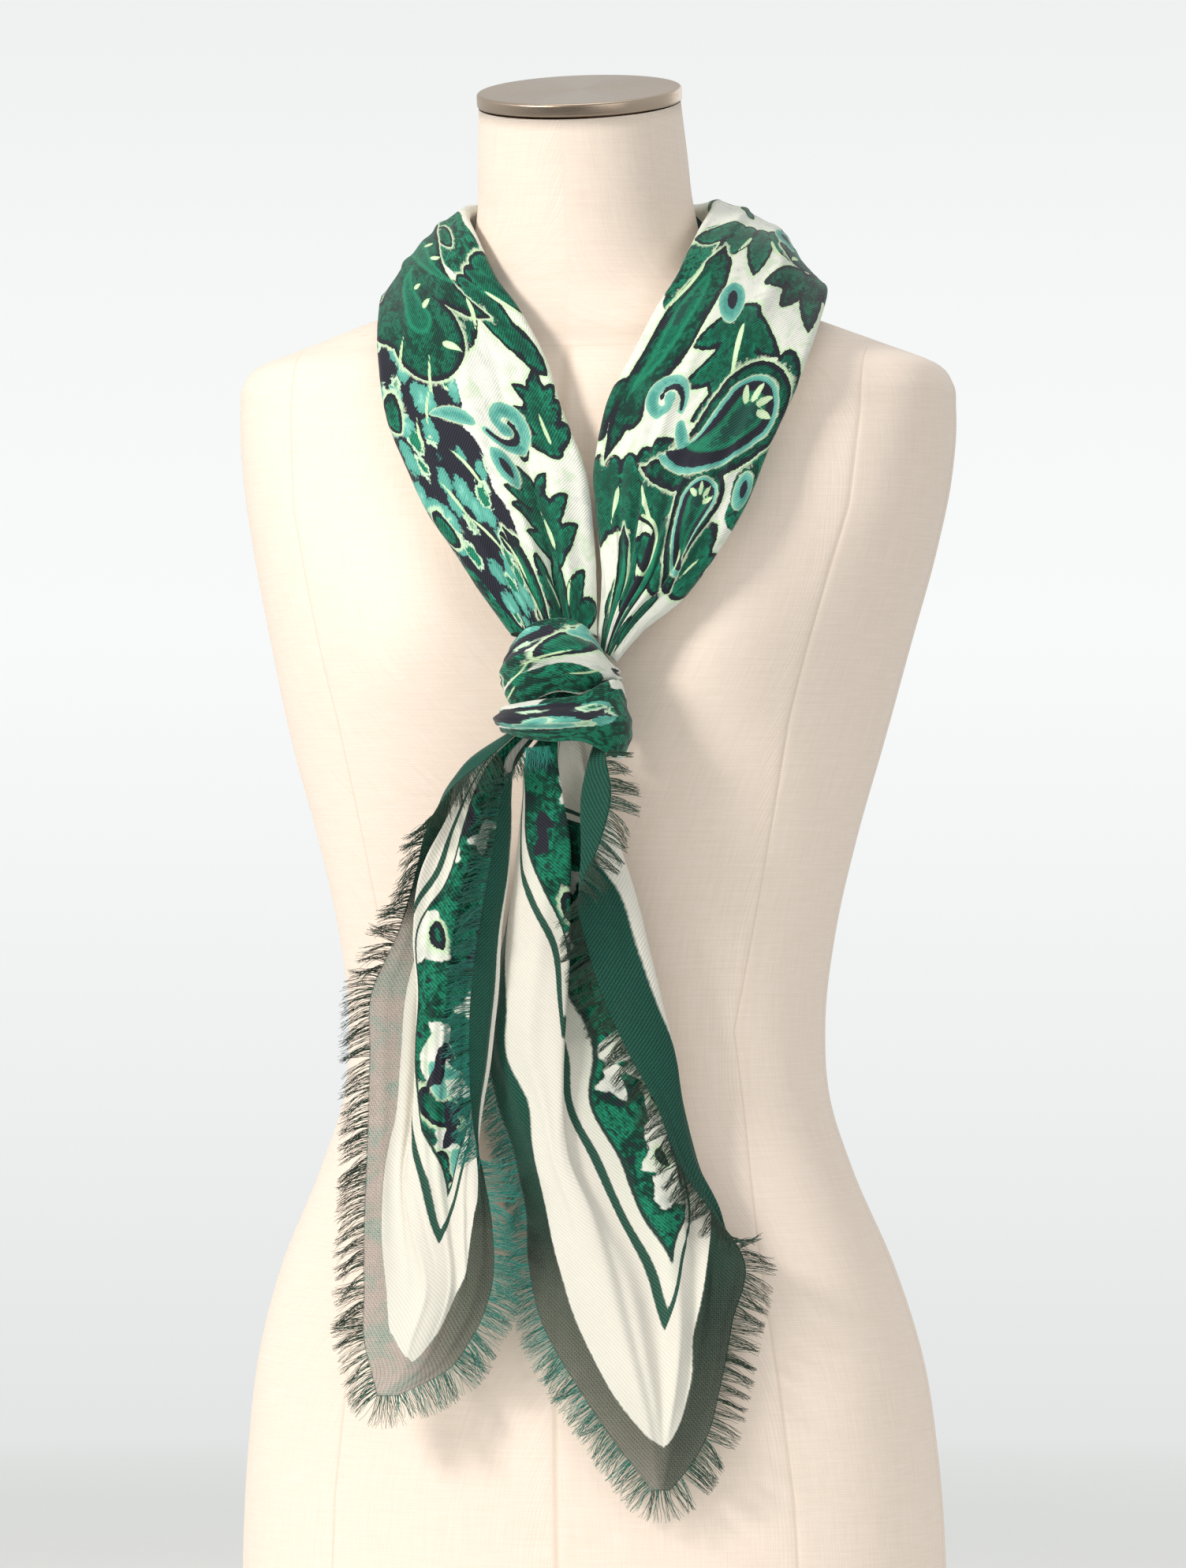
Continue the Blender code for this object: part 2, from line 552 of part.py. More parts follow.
seam = SEAM_GAP / 2 / SECTION_SPACING
for name, (first, last) in LOOP_STRETCHES.items():
    cloth_wall(name, loop_grid(first + seam, last - seam, LOOP_ROWS, LOOP_FACE_STEPS), print_gauze)
build_knot_core(print_gauze)
cloth_wall("knot_wrap", knot_grid(KNOT_WRAP, WRAP_CREASES, WRAP_ROWS, WRAP_COLUMNS), print_gauze)
cloth_wall("knot_band", knot_grid(KNOT_BAND, BAND_CREASES, BAND_ROWS, BAND_COLUMNS), print_gauze)

left = tail_grid(LEFT_RIGHTWARD, LEFT_FORWARD, TAIL_ROWS, TAIL_STEPS)
right = tail_grid(RIGHT_RIGHTWARD, RIGHT_FORWARD, TAIL_ROWS, TAIL_STEPS)
cloth_wall("tail_left", left, cream_gauze)
cloth_wall("tail_right", right, cream_gauze)

FRINGES = (
    # name, edge, beside, first row, last row, lean
    ("fringe_left_outer", left[:, 0], left[:, 1], 2, None, 0),
    ("fringe_left_lap", left[:, -1], left[:, -2], 2, 12, 0.3),
    ("fringe_left_inner", left[:, -1], left[:, -2], 13, None, 0.8),
    ("fringe_right_inner", right[:, 0], right[:, 1], 7, None, -0.5),
    ("fringe_right_flap", right[:, -1], right[:, -2], 1, 4, 0.2),
    ("fringe_right_lap", right[:, -1], right[:, -2], 5, 13, 0.2),
    ("fringe_right_outer", right[:, -1], right[:, -2], 14, None, 0.2),
)
for seed, (name, edge, beside, start, stop, lean) in enumerate(FRINGES):
    fringe(name, edge[start:stop], beside[start:stop], lean, fringe_yarn, seed)
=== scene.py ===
import bpy
import bmesh
import numpy as np
from math import cos, pi, radians, sin
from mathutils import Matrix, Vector


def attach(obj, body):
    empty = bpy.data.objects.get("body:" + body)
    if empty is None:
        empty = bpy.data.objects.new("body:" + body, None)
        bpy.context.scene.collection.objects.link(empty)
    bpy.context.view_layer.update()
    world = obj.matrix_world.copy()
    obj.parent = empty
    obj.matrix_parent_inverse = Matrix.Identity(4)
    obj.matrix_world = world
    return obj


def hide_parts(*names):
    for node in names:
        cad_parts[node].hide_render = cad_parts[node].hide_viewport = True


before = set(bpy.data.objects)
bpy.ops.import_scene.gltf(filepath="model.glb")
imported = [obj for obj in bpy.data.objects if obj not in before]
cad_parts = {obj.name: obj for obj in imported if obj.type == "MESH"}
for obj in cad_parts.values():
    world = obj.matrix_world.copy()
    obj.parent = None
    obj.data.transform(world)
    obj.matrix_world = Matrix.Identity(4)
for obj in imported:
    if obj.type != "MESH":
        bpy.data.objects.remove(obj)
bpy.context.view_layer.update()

mm = 0.001  # the tables here are in millimetres, as a maker measures


def toLinear(hexColour):  # sRGB hex, such as "1f8a6c", to linear RGBA
    parts = [int(hexColour[i:i + 2], 16) / 255 for i in (0, 2, 4)]
    return (*[c / 12.92 if c <= 0.04045 else ((c + 0.055) / 1.055) ** 2.4 for c in parts], 1)


def addNode(tree, kind, inputs=None, **settings):  # inputs are sockets to link or plain values
    node = tree.nodes.new("ShaderNode" + kind)
    for name, value in settings.items():
        setattr(node, name, value)
    for key, value in (inputs or {}).items():
        if isinstance(value, bpy.types.NodeSocket):
            tree.links.new(value, node.inputs[key])
        else:
            node.inputs[key].default_value = value
    return node


def fillRamp(node, stops, low=0.0, high=1.0):
    # stops are (place from low to high, hex colour, cover where it isn't 1)
    ramp = node.color_ramp
    while len(ramp.elements) < len(stops):
        ramp.elements.new(1.0)
    for element, (place, hexColour, *cover) in zip(ramp.elements, stops):
        element.position = (place - low) / (high - low)
        element.color = (*toLinear(hexColour)[:3], *(cover or [1]))


def newMaterial(name, **uniform):  # uniform values go straight on the shader's own sockets
    made = bpy.data.materials.new(name)
    made.use_nodes = True
    shader = made.node_tree.nodes["Principled BSDF"]
    for socket, value in uniform.items():
        shader.inputs[socket.replace("_", " ")].default_value = value
    return made, made.node_tree, shader


def curveThrough(knots, values, at):  # smooth curve through values at rising knots
    knots = np.asarray(knots, float)
    values = np.asarray(values, float)
    at = np.clip(np.asarray(at, float), knots[0], knots[-1])
    slopes = np.gradient(values, knots, axis=0)
    i = np.clip(np.searchsorted(knots, at, side="right") - 1, 0, len(knots) - 2)
    step = knots[i + 1] - knots[i]
    t = (at - knots[i]) / step
    shape = (-1,) + (1,) * (values.ndim - 1)
    t, step = t.reshape(shape), step.reshape(shape)
    return ((2 * t**3 - 3 * t**2 + 1) * values[i] + (t**3 - 2 * t**2 + t) * step * slopes[i]
            + (-2 * t**3 + 3 * t**2) * values[i + 1] + (t**3 - t**2) * step * slopes[i + 1])


noiseCells = 64  # to a side, before the noise repeats


def softNoise(places, size, seed):  # smooth noise from -1 to 1 over flat places, lumps of a size
    grid = np.random.default_rng(seed).uniform(-1, 1, (noiseCells, noiseCells))
    at = places / size
    cell = np.floor(at).astype(int)
    part = at - cell
    part = part * part * (3 - 2 * part)
    a, b = cell[..., 0] % noiseCells, cell[..., 1] % noiseCells
    c, d = (a + 1) % noiseCells, (b + 1) % noiseCells
    u, v = part[..., 0], part[..., 1]
    return (grid[a, b] * (1 - u) + grid[c, b] * u) * (1 - v) + (grid[a, d] * (1 - u) + grid[c, d] * u) * v


def gridNormals(grid):
    across = np.gradient(grid, axis=1)
    along = np.gradient(grid, axis=0)
    facing = np.cross(along, across)
    return facing / np.maximum(np.linalg.norm(facing, axis=2), 1e-9)[..., None]


def bands(period):  # a wave texture's scale for bands of a period, in its vector's unit
    return 2 * pi / 20 / period


loopTurn = radians(10)  # the scarf's tables lie in a frame turned this far about Z
turned = np.array([[cos(loopTurn), -sin(loopTurn), 0], [sin(loopTurn), cos(loopTurn), 0], [0, 0, 1]])


def addPiece(name, points, faces, material, attributes):
    mesh = bpy.data.meshes.new(name)
    mesh.from_pydata((points.reshape(-1, 3) * mm).tolist(), [], faces)
    mesh.shade_smooth()
    for key, values in attributes.items():
        kind, field = ("FLOAT_VECTOR", "vector") if values.shape[-1:] == (3,) else ("FLOAT", "value")
        mesh.attributes.new(key, kind, "POINT").data.foreach_set(field, values.ravel())
    mesh.materials.append(material)
    made = bpy.data.objects.new(name, mesh)
    bpy.context.collection.objects.link(made)
    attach(made, "root")
    return made


def gridFaces(rows, columns, closed=False):
    i, j = np.meshgrid(np.arange(rows - 1), np.arange(columns - (not closed)), indexing="ij")
    i, j = i.ravel(), j.ravel()
    k = (j + 1) % columns
    corners = (i * columns + j, (i + 1) * columns + j, (i + 1) * columns + k, i * columns + k)
    return np.stack(corners, 1).tolist()


gauze = {
    "twillPitch": 1.5,           # mm; the real lines are 0.8 mm apart, too fine to show here
    "threadPitch": 0.95,         # mm; threads of the open single layer, drawn coarser too
    "motifScale": 1.2,           # how large the motifs are printed
    # lumps in the dye: mm across, detail, roughness, how far they are bent
    "lumps": {"ragged": (2.3, 2.5, 0.62, 0.0), "wash": (17, 4.0, 0.62, 0.5),
              "dapple": (4.6, 3.0, 0.65, 0.7)},
    # mm along and across the mottled ground's islands, mm that they are bent, share of them in aqua
    "islands": (18, 10, 1), "islandBend": (13, 9, 0), "aquaShare": 0.66,
    "patchRagged": {"lush": 1.1, "mottle": 2.2}, "patchFade": 0.4,      # mm, at the edges of washes
    "inkSpread": (0.5, 1.7),     # how fast an ink's colours pass, from one lump of dye to the next
    # shade along the lumps, or from an island's middle to its rim
    "dyes": {
        "ground": ((0.36, "d6dbd2"), (0.47, "ebede3"), (0.55, "eceee4"), (0.66, "d6e4cd")),
        "lush": ((0.38, "262d36"), (0.43, "0b372d"), (0.475, "0b4838"), (0.515, "126a51"),
                 (0.565, "1a8a69"), (0.60, "0f5a45"), (0.65, "24323a")),
        "aqua": ((0.05, "86d0c0"), (0.30, "62b3a3"), (0.52, "55a797"), (0.56, "2a3b42"), (0.60, "262833")),
        "green": ((0.05, "1c8f6d"), (0.36, "1a765b"), (0.42, "bfe2bf"), (0.51, "cde9cb"), (0.55, "35504f"),
                  (0.59, "262833")),
        # one layer of the border: pale weft, then what it turns to as it covers more
        "single": ((0.38, "a59b96"), (0.48, "9b958e"), (0.56, "7b978d"), (0.64, "5f8f84")),
        "weft": ((0.57, "7f8276", 0), (0.62, "72766a"), (0.68, "515d52"), (0.76, "2b382f")),
    },
    # bands that follow the square's edge, in mm from it, and how far they wander
    "bands": ((16.5, "1d5345"), (17.5, "e5e3d8"), (64.5, "e9e4d9"), (65.3, "2b5446"), (71.2, "33594b"),
              (72.0, "e8e5da"), (82, "e4e6d8"), (82.9, "27413b"), (84.5, "27413b"), (85.4, "2b443d", 0)),
    "border": 17, "borderFade": 0.5, "bandWander": 1.4,
    "doubled": 1.0, "oneLayer": 0.7,  # how much cloth covers where it counts as two layers, and as one
    "twillShade": ((0.48, 0.90), (1.34, 1.05)),  # darkest, then lightest, on dark dye and on pale
    "openness": (-0.22, 0.12),   # how much less and more a single layer covers, between threads and on
}
farInside = 100.0  # mm from the square's edge, past its last band

# Each ink: how ragged its edge is in mm, then stops: mm from its edge, minus is inside, colour, cover
inkFinish = {
    "leaf": (1.7, ((-8.0, "0b4f3d", 0.55), (-5.0, "17795d", 0.2), (-3.6, "1b8364", 0.35), (-2.8, "154039"),
                   (-1.7, "20272f"), (-0.05, "23272f"), (0.15, "c9e8bb", 0.95), (1.3, "d4edc8", 0.75),
                   (2.9, "e4f0da", 0))),
    "deep": (1.7, ((-8.0, "0c4637", 0.45), (-5.6, "0a3c30", 0.6), (-4.0, "0c4033", 0.8), (-3.0, "1e262d"),
                   (-0.05, "23262f"), (0.15, "c9e8bb", 0.95), (1.3, "d6edc9", 0.75), (2.9, "e4f0da", 0))),
    "aqua": (1.2, ((-4.0, "4e9f93"), (-1.4, "70b9aa"), (-0.8, "79bdae"), (-0.1, "84c4b2"),
                   (0.15, "d2ebc6", 0.9), (1.4, "dcefd2", 0))),
    "navy": (1.2, ((-3.0, "262832"), (-0.1, "2a2d38"), (0.25, "2d313c", 0))),
    "jade": (1.6, ((-6.0, "128063", 0.3), (-2.5, "20966f", 0.75), (-0.6, "1d8a68", 0.5),
                   (0.5, "1d7a5c", 0))),
    "pale": (0.8, ((-2.5, "dff0d2"), (-0.1, "cbe9b8"), (0.3, "a9d9a6", 0))),
}
inkLow, inkHigh = -8.0, 3.0  # mm, the range that the inks' ramps cover


def makeGauze():
    # printed twill gauze: matt, with soft-edged motifs and washes of dye, fine diagonal lines,
    # and see-through where it is a single layer of dark border threads
    made, tree, shader = newMaterial("printedTwillGauze", Roughness=0.78, Sheen_Weight=0.25,
                                     Sheen_Roughness=0.45, Specular_IOR_Level=0.18)
    read = {name: addNode(tree, "Attribute", attribute_name=name).outputs
            for name in ("flat", "inset", "layers", "lush", "mottle", *inkFinish)}
    flat, layers = read["flat"]["Vector"], read["layers"]["Fac"]
    lumps = {name: addNode(tree, "TexNoise", {"Vector": flat, "Scale": 1 / size, "Detail": detail,
                                              "Roughness": rough, "Distortion": bent}).outputs
             for name, (size, detail, rough, bent) in gauze["lumps"].items()}
    fine, broad, dapple = lumps["ragged"]["Fac"], lumps["wash"]["Fac"], lumps["dapple"]
    dyed = addNode(tree, "Mix", {0: 0.5, 2: broad, 3: dapple["Fac"]}).outputs[0]
    # islands drawn out along the cloth, in a charcoal net
    bent = addNode(tree, "VectorMath", {0: dapple["Color"], 1: gauze["islandBend"], 2: flat},
                   operation="MULTIPLY_ADD").outputs[0]
    bent = addNode(tree, "VectorMath", {0: bent, 1: gauze["islands"]}, operation="DIVIDE").outputs[0]
    island = addNode(tree, "TexVoronoi", {"Vector": bent, "Scale": 1.0}).outputs
    which = addNode(tree, "SeparateColor", {0: island["Color"]}).outputs[0]
    which = addNode(tree, "Math", {0: which, 1: gauze["aquaShare"]}, operation="GREATER_THAN").outputs[0]

    dyes = {}
    for name, along in (("ground", broad), ("lush", dyed), ("aqua", island["Distance"]),
                        ("green", island["Distance"]), ("single", broad), ("weft", layers)):
        ramp = addNode(tree, "ValToRGB", {"Fac": along})
        fillRamp(ramp, gauze["dyes"][name])
        dyes[name] = ramp.outputs
    mottle = addNode(tree, "Mix", {0: which, 6: dyes["aqua"]["Color"], 7: dyes["green"]["Color"]},
                     data_type="RGBA").outputs[2]

    # washes over the pale ground
    colour = dyes["ground"]["Color"]
    for name, wash in (("lush", dyes["lush"]["Color"]), ("mottle", mottle)):
        ragged = gauze["patchRagged"][name]
        rough = addNode(tree, "Math", {0: fine, 1: ragged * 2, 2: read[name]["Fac"]},
                        operation="MULTIPLY_ADD").outputs[0]
        cover = addNode(tree, "MapRange", {"Value": rough, "From Min": ragged + gauze["patchFade"],
                                           "From Max": ragged - gauze["patchFade"]}).outputs["Result"]
        colour = addNode(tree, "Mix", {0: cover, 6: colour, 7: wash}, data_type="RGBA").outputs[2]

    # inks over the washes, their edges ragged and their colours uneven
    span = inkHigh - inkLow
    slow, fast = gauze["inkSpread"]
    vary = addNode(tree, "MapRange", {"Value": dyed, "From Min": 0.40, "From Max": 0.60,
                                      "To Min": slow / span, "To Max": fast / span}).outputs["Result"]
    for name, (ragged, stops) in inkFinish.items():
        rough = addNode(tree, "Math", {0: fine, 1: ragged / span, 2: (-inkLow - ragged / 2) / span},
                        operation="MULTIPLY_ADD").outputs[0]
        place = addNode(tree, "Math", {0: read[name]["Fac"], 1: vary, 2: rough},
                        operation="MULTIPLY_ADD").outputs[0]
        ramp = addNode(tree, "ValToRGB", {"Fac": place})
        fillRamp(ramp, stops, inkLow, inkHigh)
        colour = addNode(tree, "Mix", {0: ramp.outputs["Alpha"], 6: colour, 7: ramp.outputs["Color"]},
                         data_type="RGBA").outputs[2]

    # woven and printed bands that follow the square's edge
    most = gauze["bandWander"] / farInside
    wander = addNode(tree, "Math", {0: fine, 1: most, 2: -most / 2}, operation="MULTIPLY_ADD").outputs[0]
    inset = addNode(tree, "Math", {0: read["inset"]["Fac"], 1: 1 / farInside, 2: wander},
                    operation="MULTIPLY_ADD").outputs[0]
    zones = addNode(tree, "ValToRGB", {"Fac": inset})
    fillRamp(zones, gauze["bands"], 0, farInside)
    colour = addNode(tree, "Mix", {0: zones.outputs["Alpha"], 6: colour, 7: zones.outputs["Color"]},
                     data_type="RGBA").outputs[2]

    # the border is deep green where the cloth is doubled; a single layer is grey with a rosy cast to
    # teal where its weft is pale, and dark grey-green where it isn't
    border, fade = gauze["border"] / farInside, gauze["borderFade"] / farInside
    edge = addNode(tree, "MapRange", {"Value": inset, "From Min": border + fade,
                                      "From Max": border - fade}).outputs["Result"]
    thin = addNode(tree, "MapRange", {"Value": layers, "From Min": gauze["doubled"],
                                      "From Max": gauze["oneLayer"]}).outputs["Result"]
    thin = addNode(tree, "Math", {0: thin, 1: edge}, operation="MULTIPLY").outputs[0]
    weft = dyes["weft"]
    single = addNode(tree, "Mix", {0: weft["Alpha"], 6: dyes["single"]["Color"], 7: weft["Color"]},
                     data_type="RGBA").outputs[2]
    colour = addNode(tree, "Mix", {0: thin, 6: colour, 7: single}, data_type="RGBA").outputs[2]

    # diagonal twill lines, which show most on dark dye
    twill = addNode(tree, "TexWave", {"Vector": flat, "Scale": bands(gauze["twillPitch"]) * 2 ** 0.5,
                                      "Distortion": 0.8, "Detail": 1.0, "Detail Scale": 0.6},
                    wave_type="BANDS", bands_direction="DIAGONAL").outputs["Fac"]
    depth = addNode(tree, "RGBToBW", {0: colour}).outputs[0]
    least, most = [addNode(tree, "MapRange", {"Value": depth, "From Max": 0.5, "To Min": onDark,
                                              "To Max": onPale}).outputs["Result"]
                   for onDark, onPale in gauze["twillShade"]]
    shade = addNode(tree, "MapRange", {"Value": twill, "To Min": least, "To Max": most}).outputs["Result"]
    colour = addNode(tree, "VectorMath", {0: colour, "Scale": shade}, operation="SCALE").outputs[0]
    tree.links.new(colour, shader.inputs["Base Color"])

    # the threads that show where the cloth is a single layer
    threads = [addNode(tree, "TexWave", {"Vector": flat, "Scale": bands(gauze["threadPitch"]),
                                         "Distortion": 1.6, "Detail": 1.5, "Detail Scale": 0.25},
                       wave_type="BANDS", bands_direction=direction).outputs["Fac"] for direction in "XY"]
    crossed = addNode(tree, "Math", {0: threads[0], 1: threads[1]}, operation="MAXIMUM").outputs[0]
    between, onThread = gauze["openness"]
    woven = addNode(tree, "MapRange", {"Value": crossed, "From Min": 0.5, "From Max": 1.0,
                                       "To Min": between, "To Max": onThread}).outputs["Result"]
    sheer = addNode(tree, "Math", {0: woven, 1: layers}, operation="ADD", use_clamp=True).outputs[0]
    solid = addNode(tree, "Math", {0: 1.0, 1: edge}, operation="SUBTRACT").outputs[0]
    solid = addNode(tree, "Math", {0: solid, 1: sheer}, operation="MAXIMUM").outputs[0]
    tree.links.new(solid, shader.inputs["Alpha"])

    bump = addNode(tree, "Bump", {"Height": twill, "Strength": 0.6, "Distance": 0.00025})
    tree.links.new(bump.outputs["Normal"], shader.inputs["Normal"])
    return made


yarn = {"dark": "2f3a2b", "mixed": "35695a", "teal": "32a295"}


def makeYarn():
    # threads drawn out of the gauze: matt, fine, dark green to teal along the edge
    made, tree, shader = newMaterial("drawnGauzeThreads", Roughness=0.85, Sheen_Weight=0.1,
                                     Specular_IOR_Level=0.15)
    tint = addNode(tree, "Attribute", attribute_name="tint").outputs["Fac"]
    ramp = addNode(tree, "ValToRGB", {"Fac": tint})
    fillRamp(ramp, ((0, yarn["dark"]), (0.5, yarn["mixed"]), (1, yarn["teal"])))
    tree.links.new(ramp.outputs["Color"], shader.inputs["Base Color"])
    return made


linen = {
    "threadPitch": 1.15,         # mm; real linen has 0.5 mm, drawn coarser to show
    "slubsPerMm": 0.75, "slubDrawn": 0.045,  # lumps in the threads, drawn out along them
    "threadShare": 0.35,         # how much the threads count beside their slubs
    "woven": (0.95, 1.75),       # from the hollows of the weave to its crests
    "light": "faebdf", "dark": "efdfcf", "seam": "d0bda5",
    "seamFrom": 0.9, "seamTo": 0.2, "seamCover": 0.34,  # mm from a seam, share of its colour
}


def makeLinen():
    # unbleached linen pulled smooth over padding: matt, uneven slubs both ways
    made, tree, shader = newMaterial("unbleachedLinen", Roughness=0.92, Sheen_Weight=0.15,
                                     Sheen_Roughness=0.6, Specular_IOR_Level=0.12)
    cloth = addNode(tree, "Attribute", attribute_name="cloth").outputs["Vector"]
    drawn = linen["slubDrawn"]
    threads = []
    for direction, stretch in (("X", (1.0, drawn, 1.0)), ("Y", (drawn, 1.0, 1.0))):
        along = addNode(tree, "VectorMath", {0: cloth, 1: stretch}, operation="MULTIPLY").outputs[0]
        slub = addNode(tree, "TexNoise", {"Vector": along, "Scale": linen["slubsPerMm"], "Detail": 2.0,
                                          "Roughness": 0.7}).outputs["Fac"]
        thread = addNode(tree, "TexWave", {"Vector": cloth, "Scale": bands(linen["threadPitch"]),
                                           "Distortion": 1.5, "Detail": 2.0, "Detail Scale": 0.2},
                         wave_type="BANDS", bands_direction=direction).outputs["Fac"]
        threads.append(addNode(tree, "Math", {0: thread, 1: linen["threadShare"], 2: slub},
                               operation="MULTIPLY_ADD").outputs[0])
    woven = addNode(tree, "Math", {0: threads[0], 1: threads[1]}, operation="ADD").outputs[0]
    hollow, crest = linen["woven"]
    shade = addNode(tree, "MapRange", {"Value": woven, "From Min": hollow,
                                       "From Max": crest}).outputs["Result"]
    colour = addNode(tree, "Mix", {0: shade, 6: toLinear(linen["dark"]), 7: toLinear(linen["light"])},
                     data_type="RGBA").outputs[2]
    seam = addNode(tree, "Attribute", attribute_name="seam").outputs["Fac"]
    near = addNode(tree, "MapRange", {"Value": seam, "From Min": linen["seamFrom"],
                                      "From Max": linen["seamTo"],
                                      "To Max": linen["seamCover"]}).outputs["Result"]
    colour = addNode(tree, "Mix", {0: near, 6: colour, 7: toLinear(linen["seam"])},
                     data_type="RGBA").outputs[2]
    tree.links.new(colour, shader.inputs["Base Color"])
    bump = addNode(tree, "Bump", {"Height": woven, "Strength": 0.35, "Distance": 0.0002})
    tree.links.new(bump.outputs["Normal"], shader.inputs["Normal"])
    return made


nickel = {"colour": "b1a08f", "brushPitch": 0.35, "smooth": 0.22, "rough": 0.42}  # pitch in mm, roughness


def makeNickel():
    # nickel-plated disc, brushed in one direction: soft long highlights, brighter at the bevels
    made, tree, shader = newMaterial("brushedNickel", Metallic=1.0, Roughness=0.3, Anisotropic=0.45)
    shader.inputs["Base Color"].default_value = toLinear(nickel["colour"])
    where = addNode(tree, "Attribute", attribute_name="brushed").outputs["Vector"]
    lines = addNode(tree, "TexNoise", {"Vector": where, "Scale": 1 / nickel["brushPitch"],
                                       "Detail": 3.0, "Roughness": 0.7}).outputs["Fac"]
    rough = addNode(tree, "MapRange", {"Value": lines, "From Min": 0.3, "From Max": 0.7,
                                       "To Min": nickel["smooth"],
                                       "To Max": nickel["rough"]}).outputs["Result"]
    tree.links.new(rough, shader.inputs["Roughness"])
    bump = addNode(tree, "Bump", {"Height": lines, "Strength": 0.12, "Distance": 0.00004})
    tree.links.new(bump.outputs["Normal"], shader.inputs["Normal"])
    return made


gauzeCloth = makeGauze()
yarnThread = makeYarn()
linenCover = makeLinen()
nickelPlate = makeNickel()
print("finishes made")


# height, half width, middle y, reach to the front, reach to the back, squareness, tilt
formLevels = (
    (0,   181.0,   1, 103, 112, 2.2, 0),
    (3,   184.0,   1, 106, 115, 2.2, 0),
    (10,  185.5,   1, 107, 116, 2.2, 0),
    (75,  186.2,   0, 108, 118, 2.2, 0),
    (137, 182.4,  -4, 107, 120, 2.2, 0),
    (187, 175.5, -10, 102, 121, 2.2, 0),
    (236, 161.2, -18,  93, 116, 2.2, 0),
    (286, 139.9, -22,  86, 107, 2.2, 0),
    (324, 127.6, -21,  83, 101, 2.2, 0),
    (361, 125.1, -20,  82,  99, 2.2, 0),
    (411, 130.7, -20,  84, 102, 2.2, 0),
    (460, 141.9, -20,  89, 109, 2.2, 0),
    (510, 156.0, -18,  97, 114, 2.2, 0),
    (560, 168.3,  -8, 108, 112, 2.3, 0),
    (610, 180.3,   6, 116, 101, 2.4, 0),
    (650, 187.6,  13, 109,  92, 2.5, 0),
    (685, 189.7,  13,  98,  87, 2.5, 0),
    (698, 188.4,  12,  92,  84, 2.5, 0),
    (708, 180.5,  10,  86,  81, 2.4, 0),
    (718, 154.8,   6,  80,  76, 2.2, 1),
    (728, 127.2,   0,  75,  70, 2.1, 2),
    (740,  95.0,  -7,  68,  64, 2.0, 4),
    (752,  74.0, -12,  63,  60, 2.0, 6),
    (768,  61.5, -17,  60,  58, 2.0, 9),
    (786,  57.0, -22,  58,  57, 2.0, 12),
    (815,  54.6, -31,  56,  56, 2.0, 13.5),
    (842,  52.6, -40,  55,  55, 2.0, 13.5),
)
form = {
    "rowRuns": ((0, 12, 2.0), (12, 690, 4.2), (690, 760, 2.1), (760, 842.1, 4.2)),  # mm: from, to, step
    "columnsBetween": 15,        # columns in each panel, between its seams
    "bust": {"x": 84, "z": 566, "rise": 17, "across": 44, "along": 52, "frontness": 1.6},
    # height, how far from the middle the curved front seam runs
    "frontSeam": ((0, 126), (120, 120), (179, 113), (252, 102), (361, 88), (521, 118), (631, 146),
                  (680, 150), (842, 150)),
    "backSeam": ((0, 104), (179, 98), (361, 72), (521, 92), (650, 112), (842, 112)),
    # share of a panel from its seam, how far the cover is out there, with the seam's depth as 1
    "seamShape": ((0, -1), (0.010, -0.35), (0.024, 0.25), (0.05, 0)),
    "seamFarthest": 0.985,       # share of the half width, past which no seam runs
    "seamDepth": 0.35, "seamTop": 716, "seamFade": 20,  # mm; the curved seams end in the shoulder
    "panelWidth": 90, "farFromSeam": 9.0,               # mm
    "neckSeam": {"front": 711, "slope": 0.26, "y": -88},
    "middleY": -12,              # mm; every section reaches round this place
}


def formAngle(x, halfWidth, square):  # where on a section the surface lies x from the middle
    share = np.clip(x / halfWidth, 0, form["seamFarthest"]) ** (square / 2)
    return np.arccos(share)


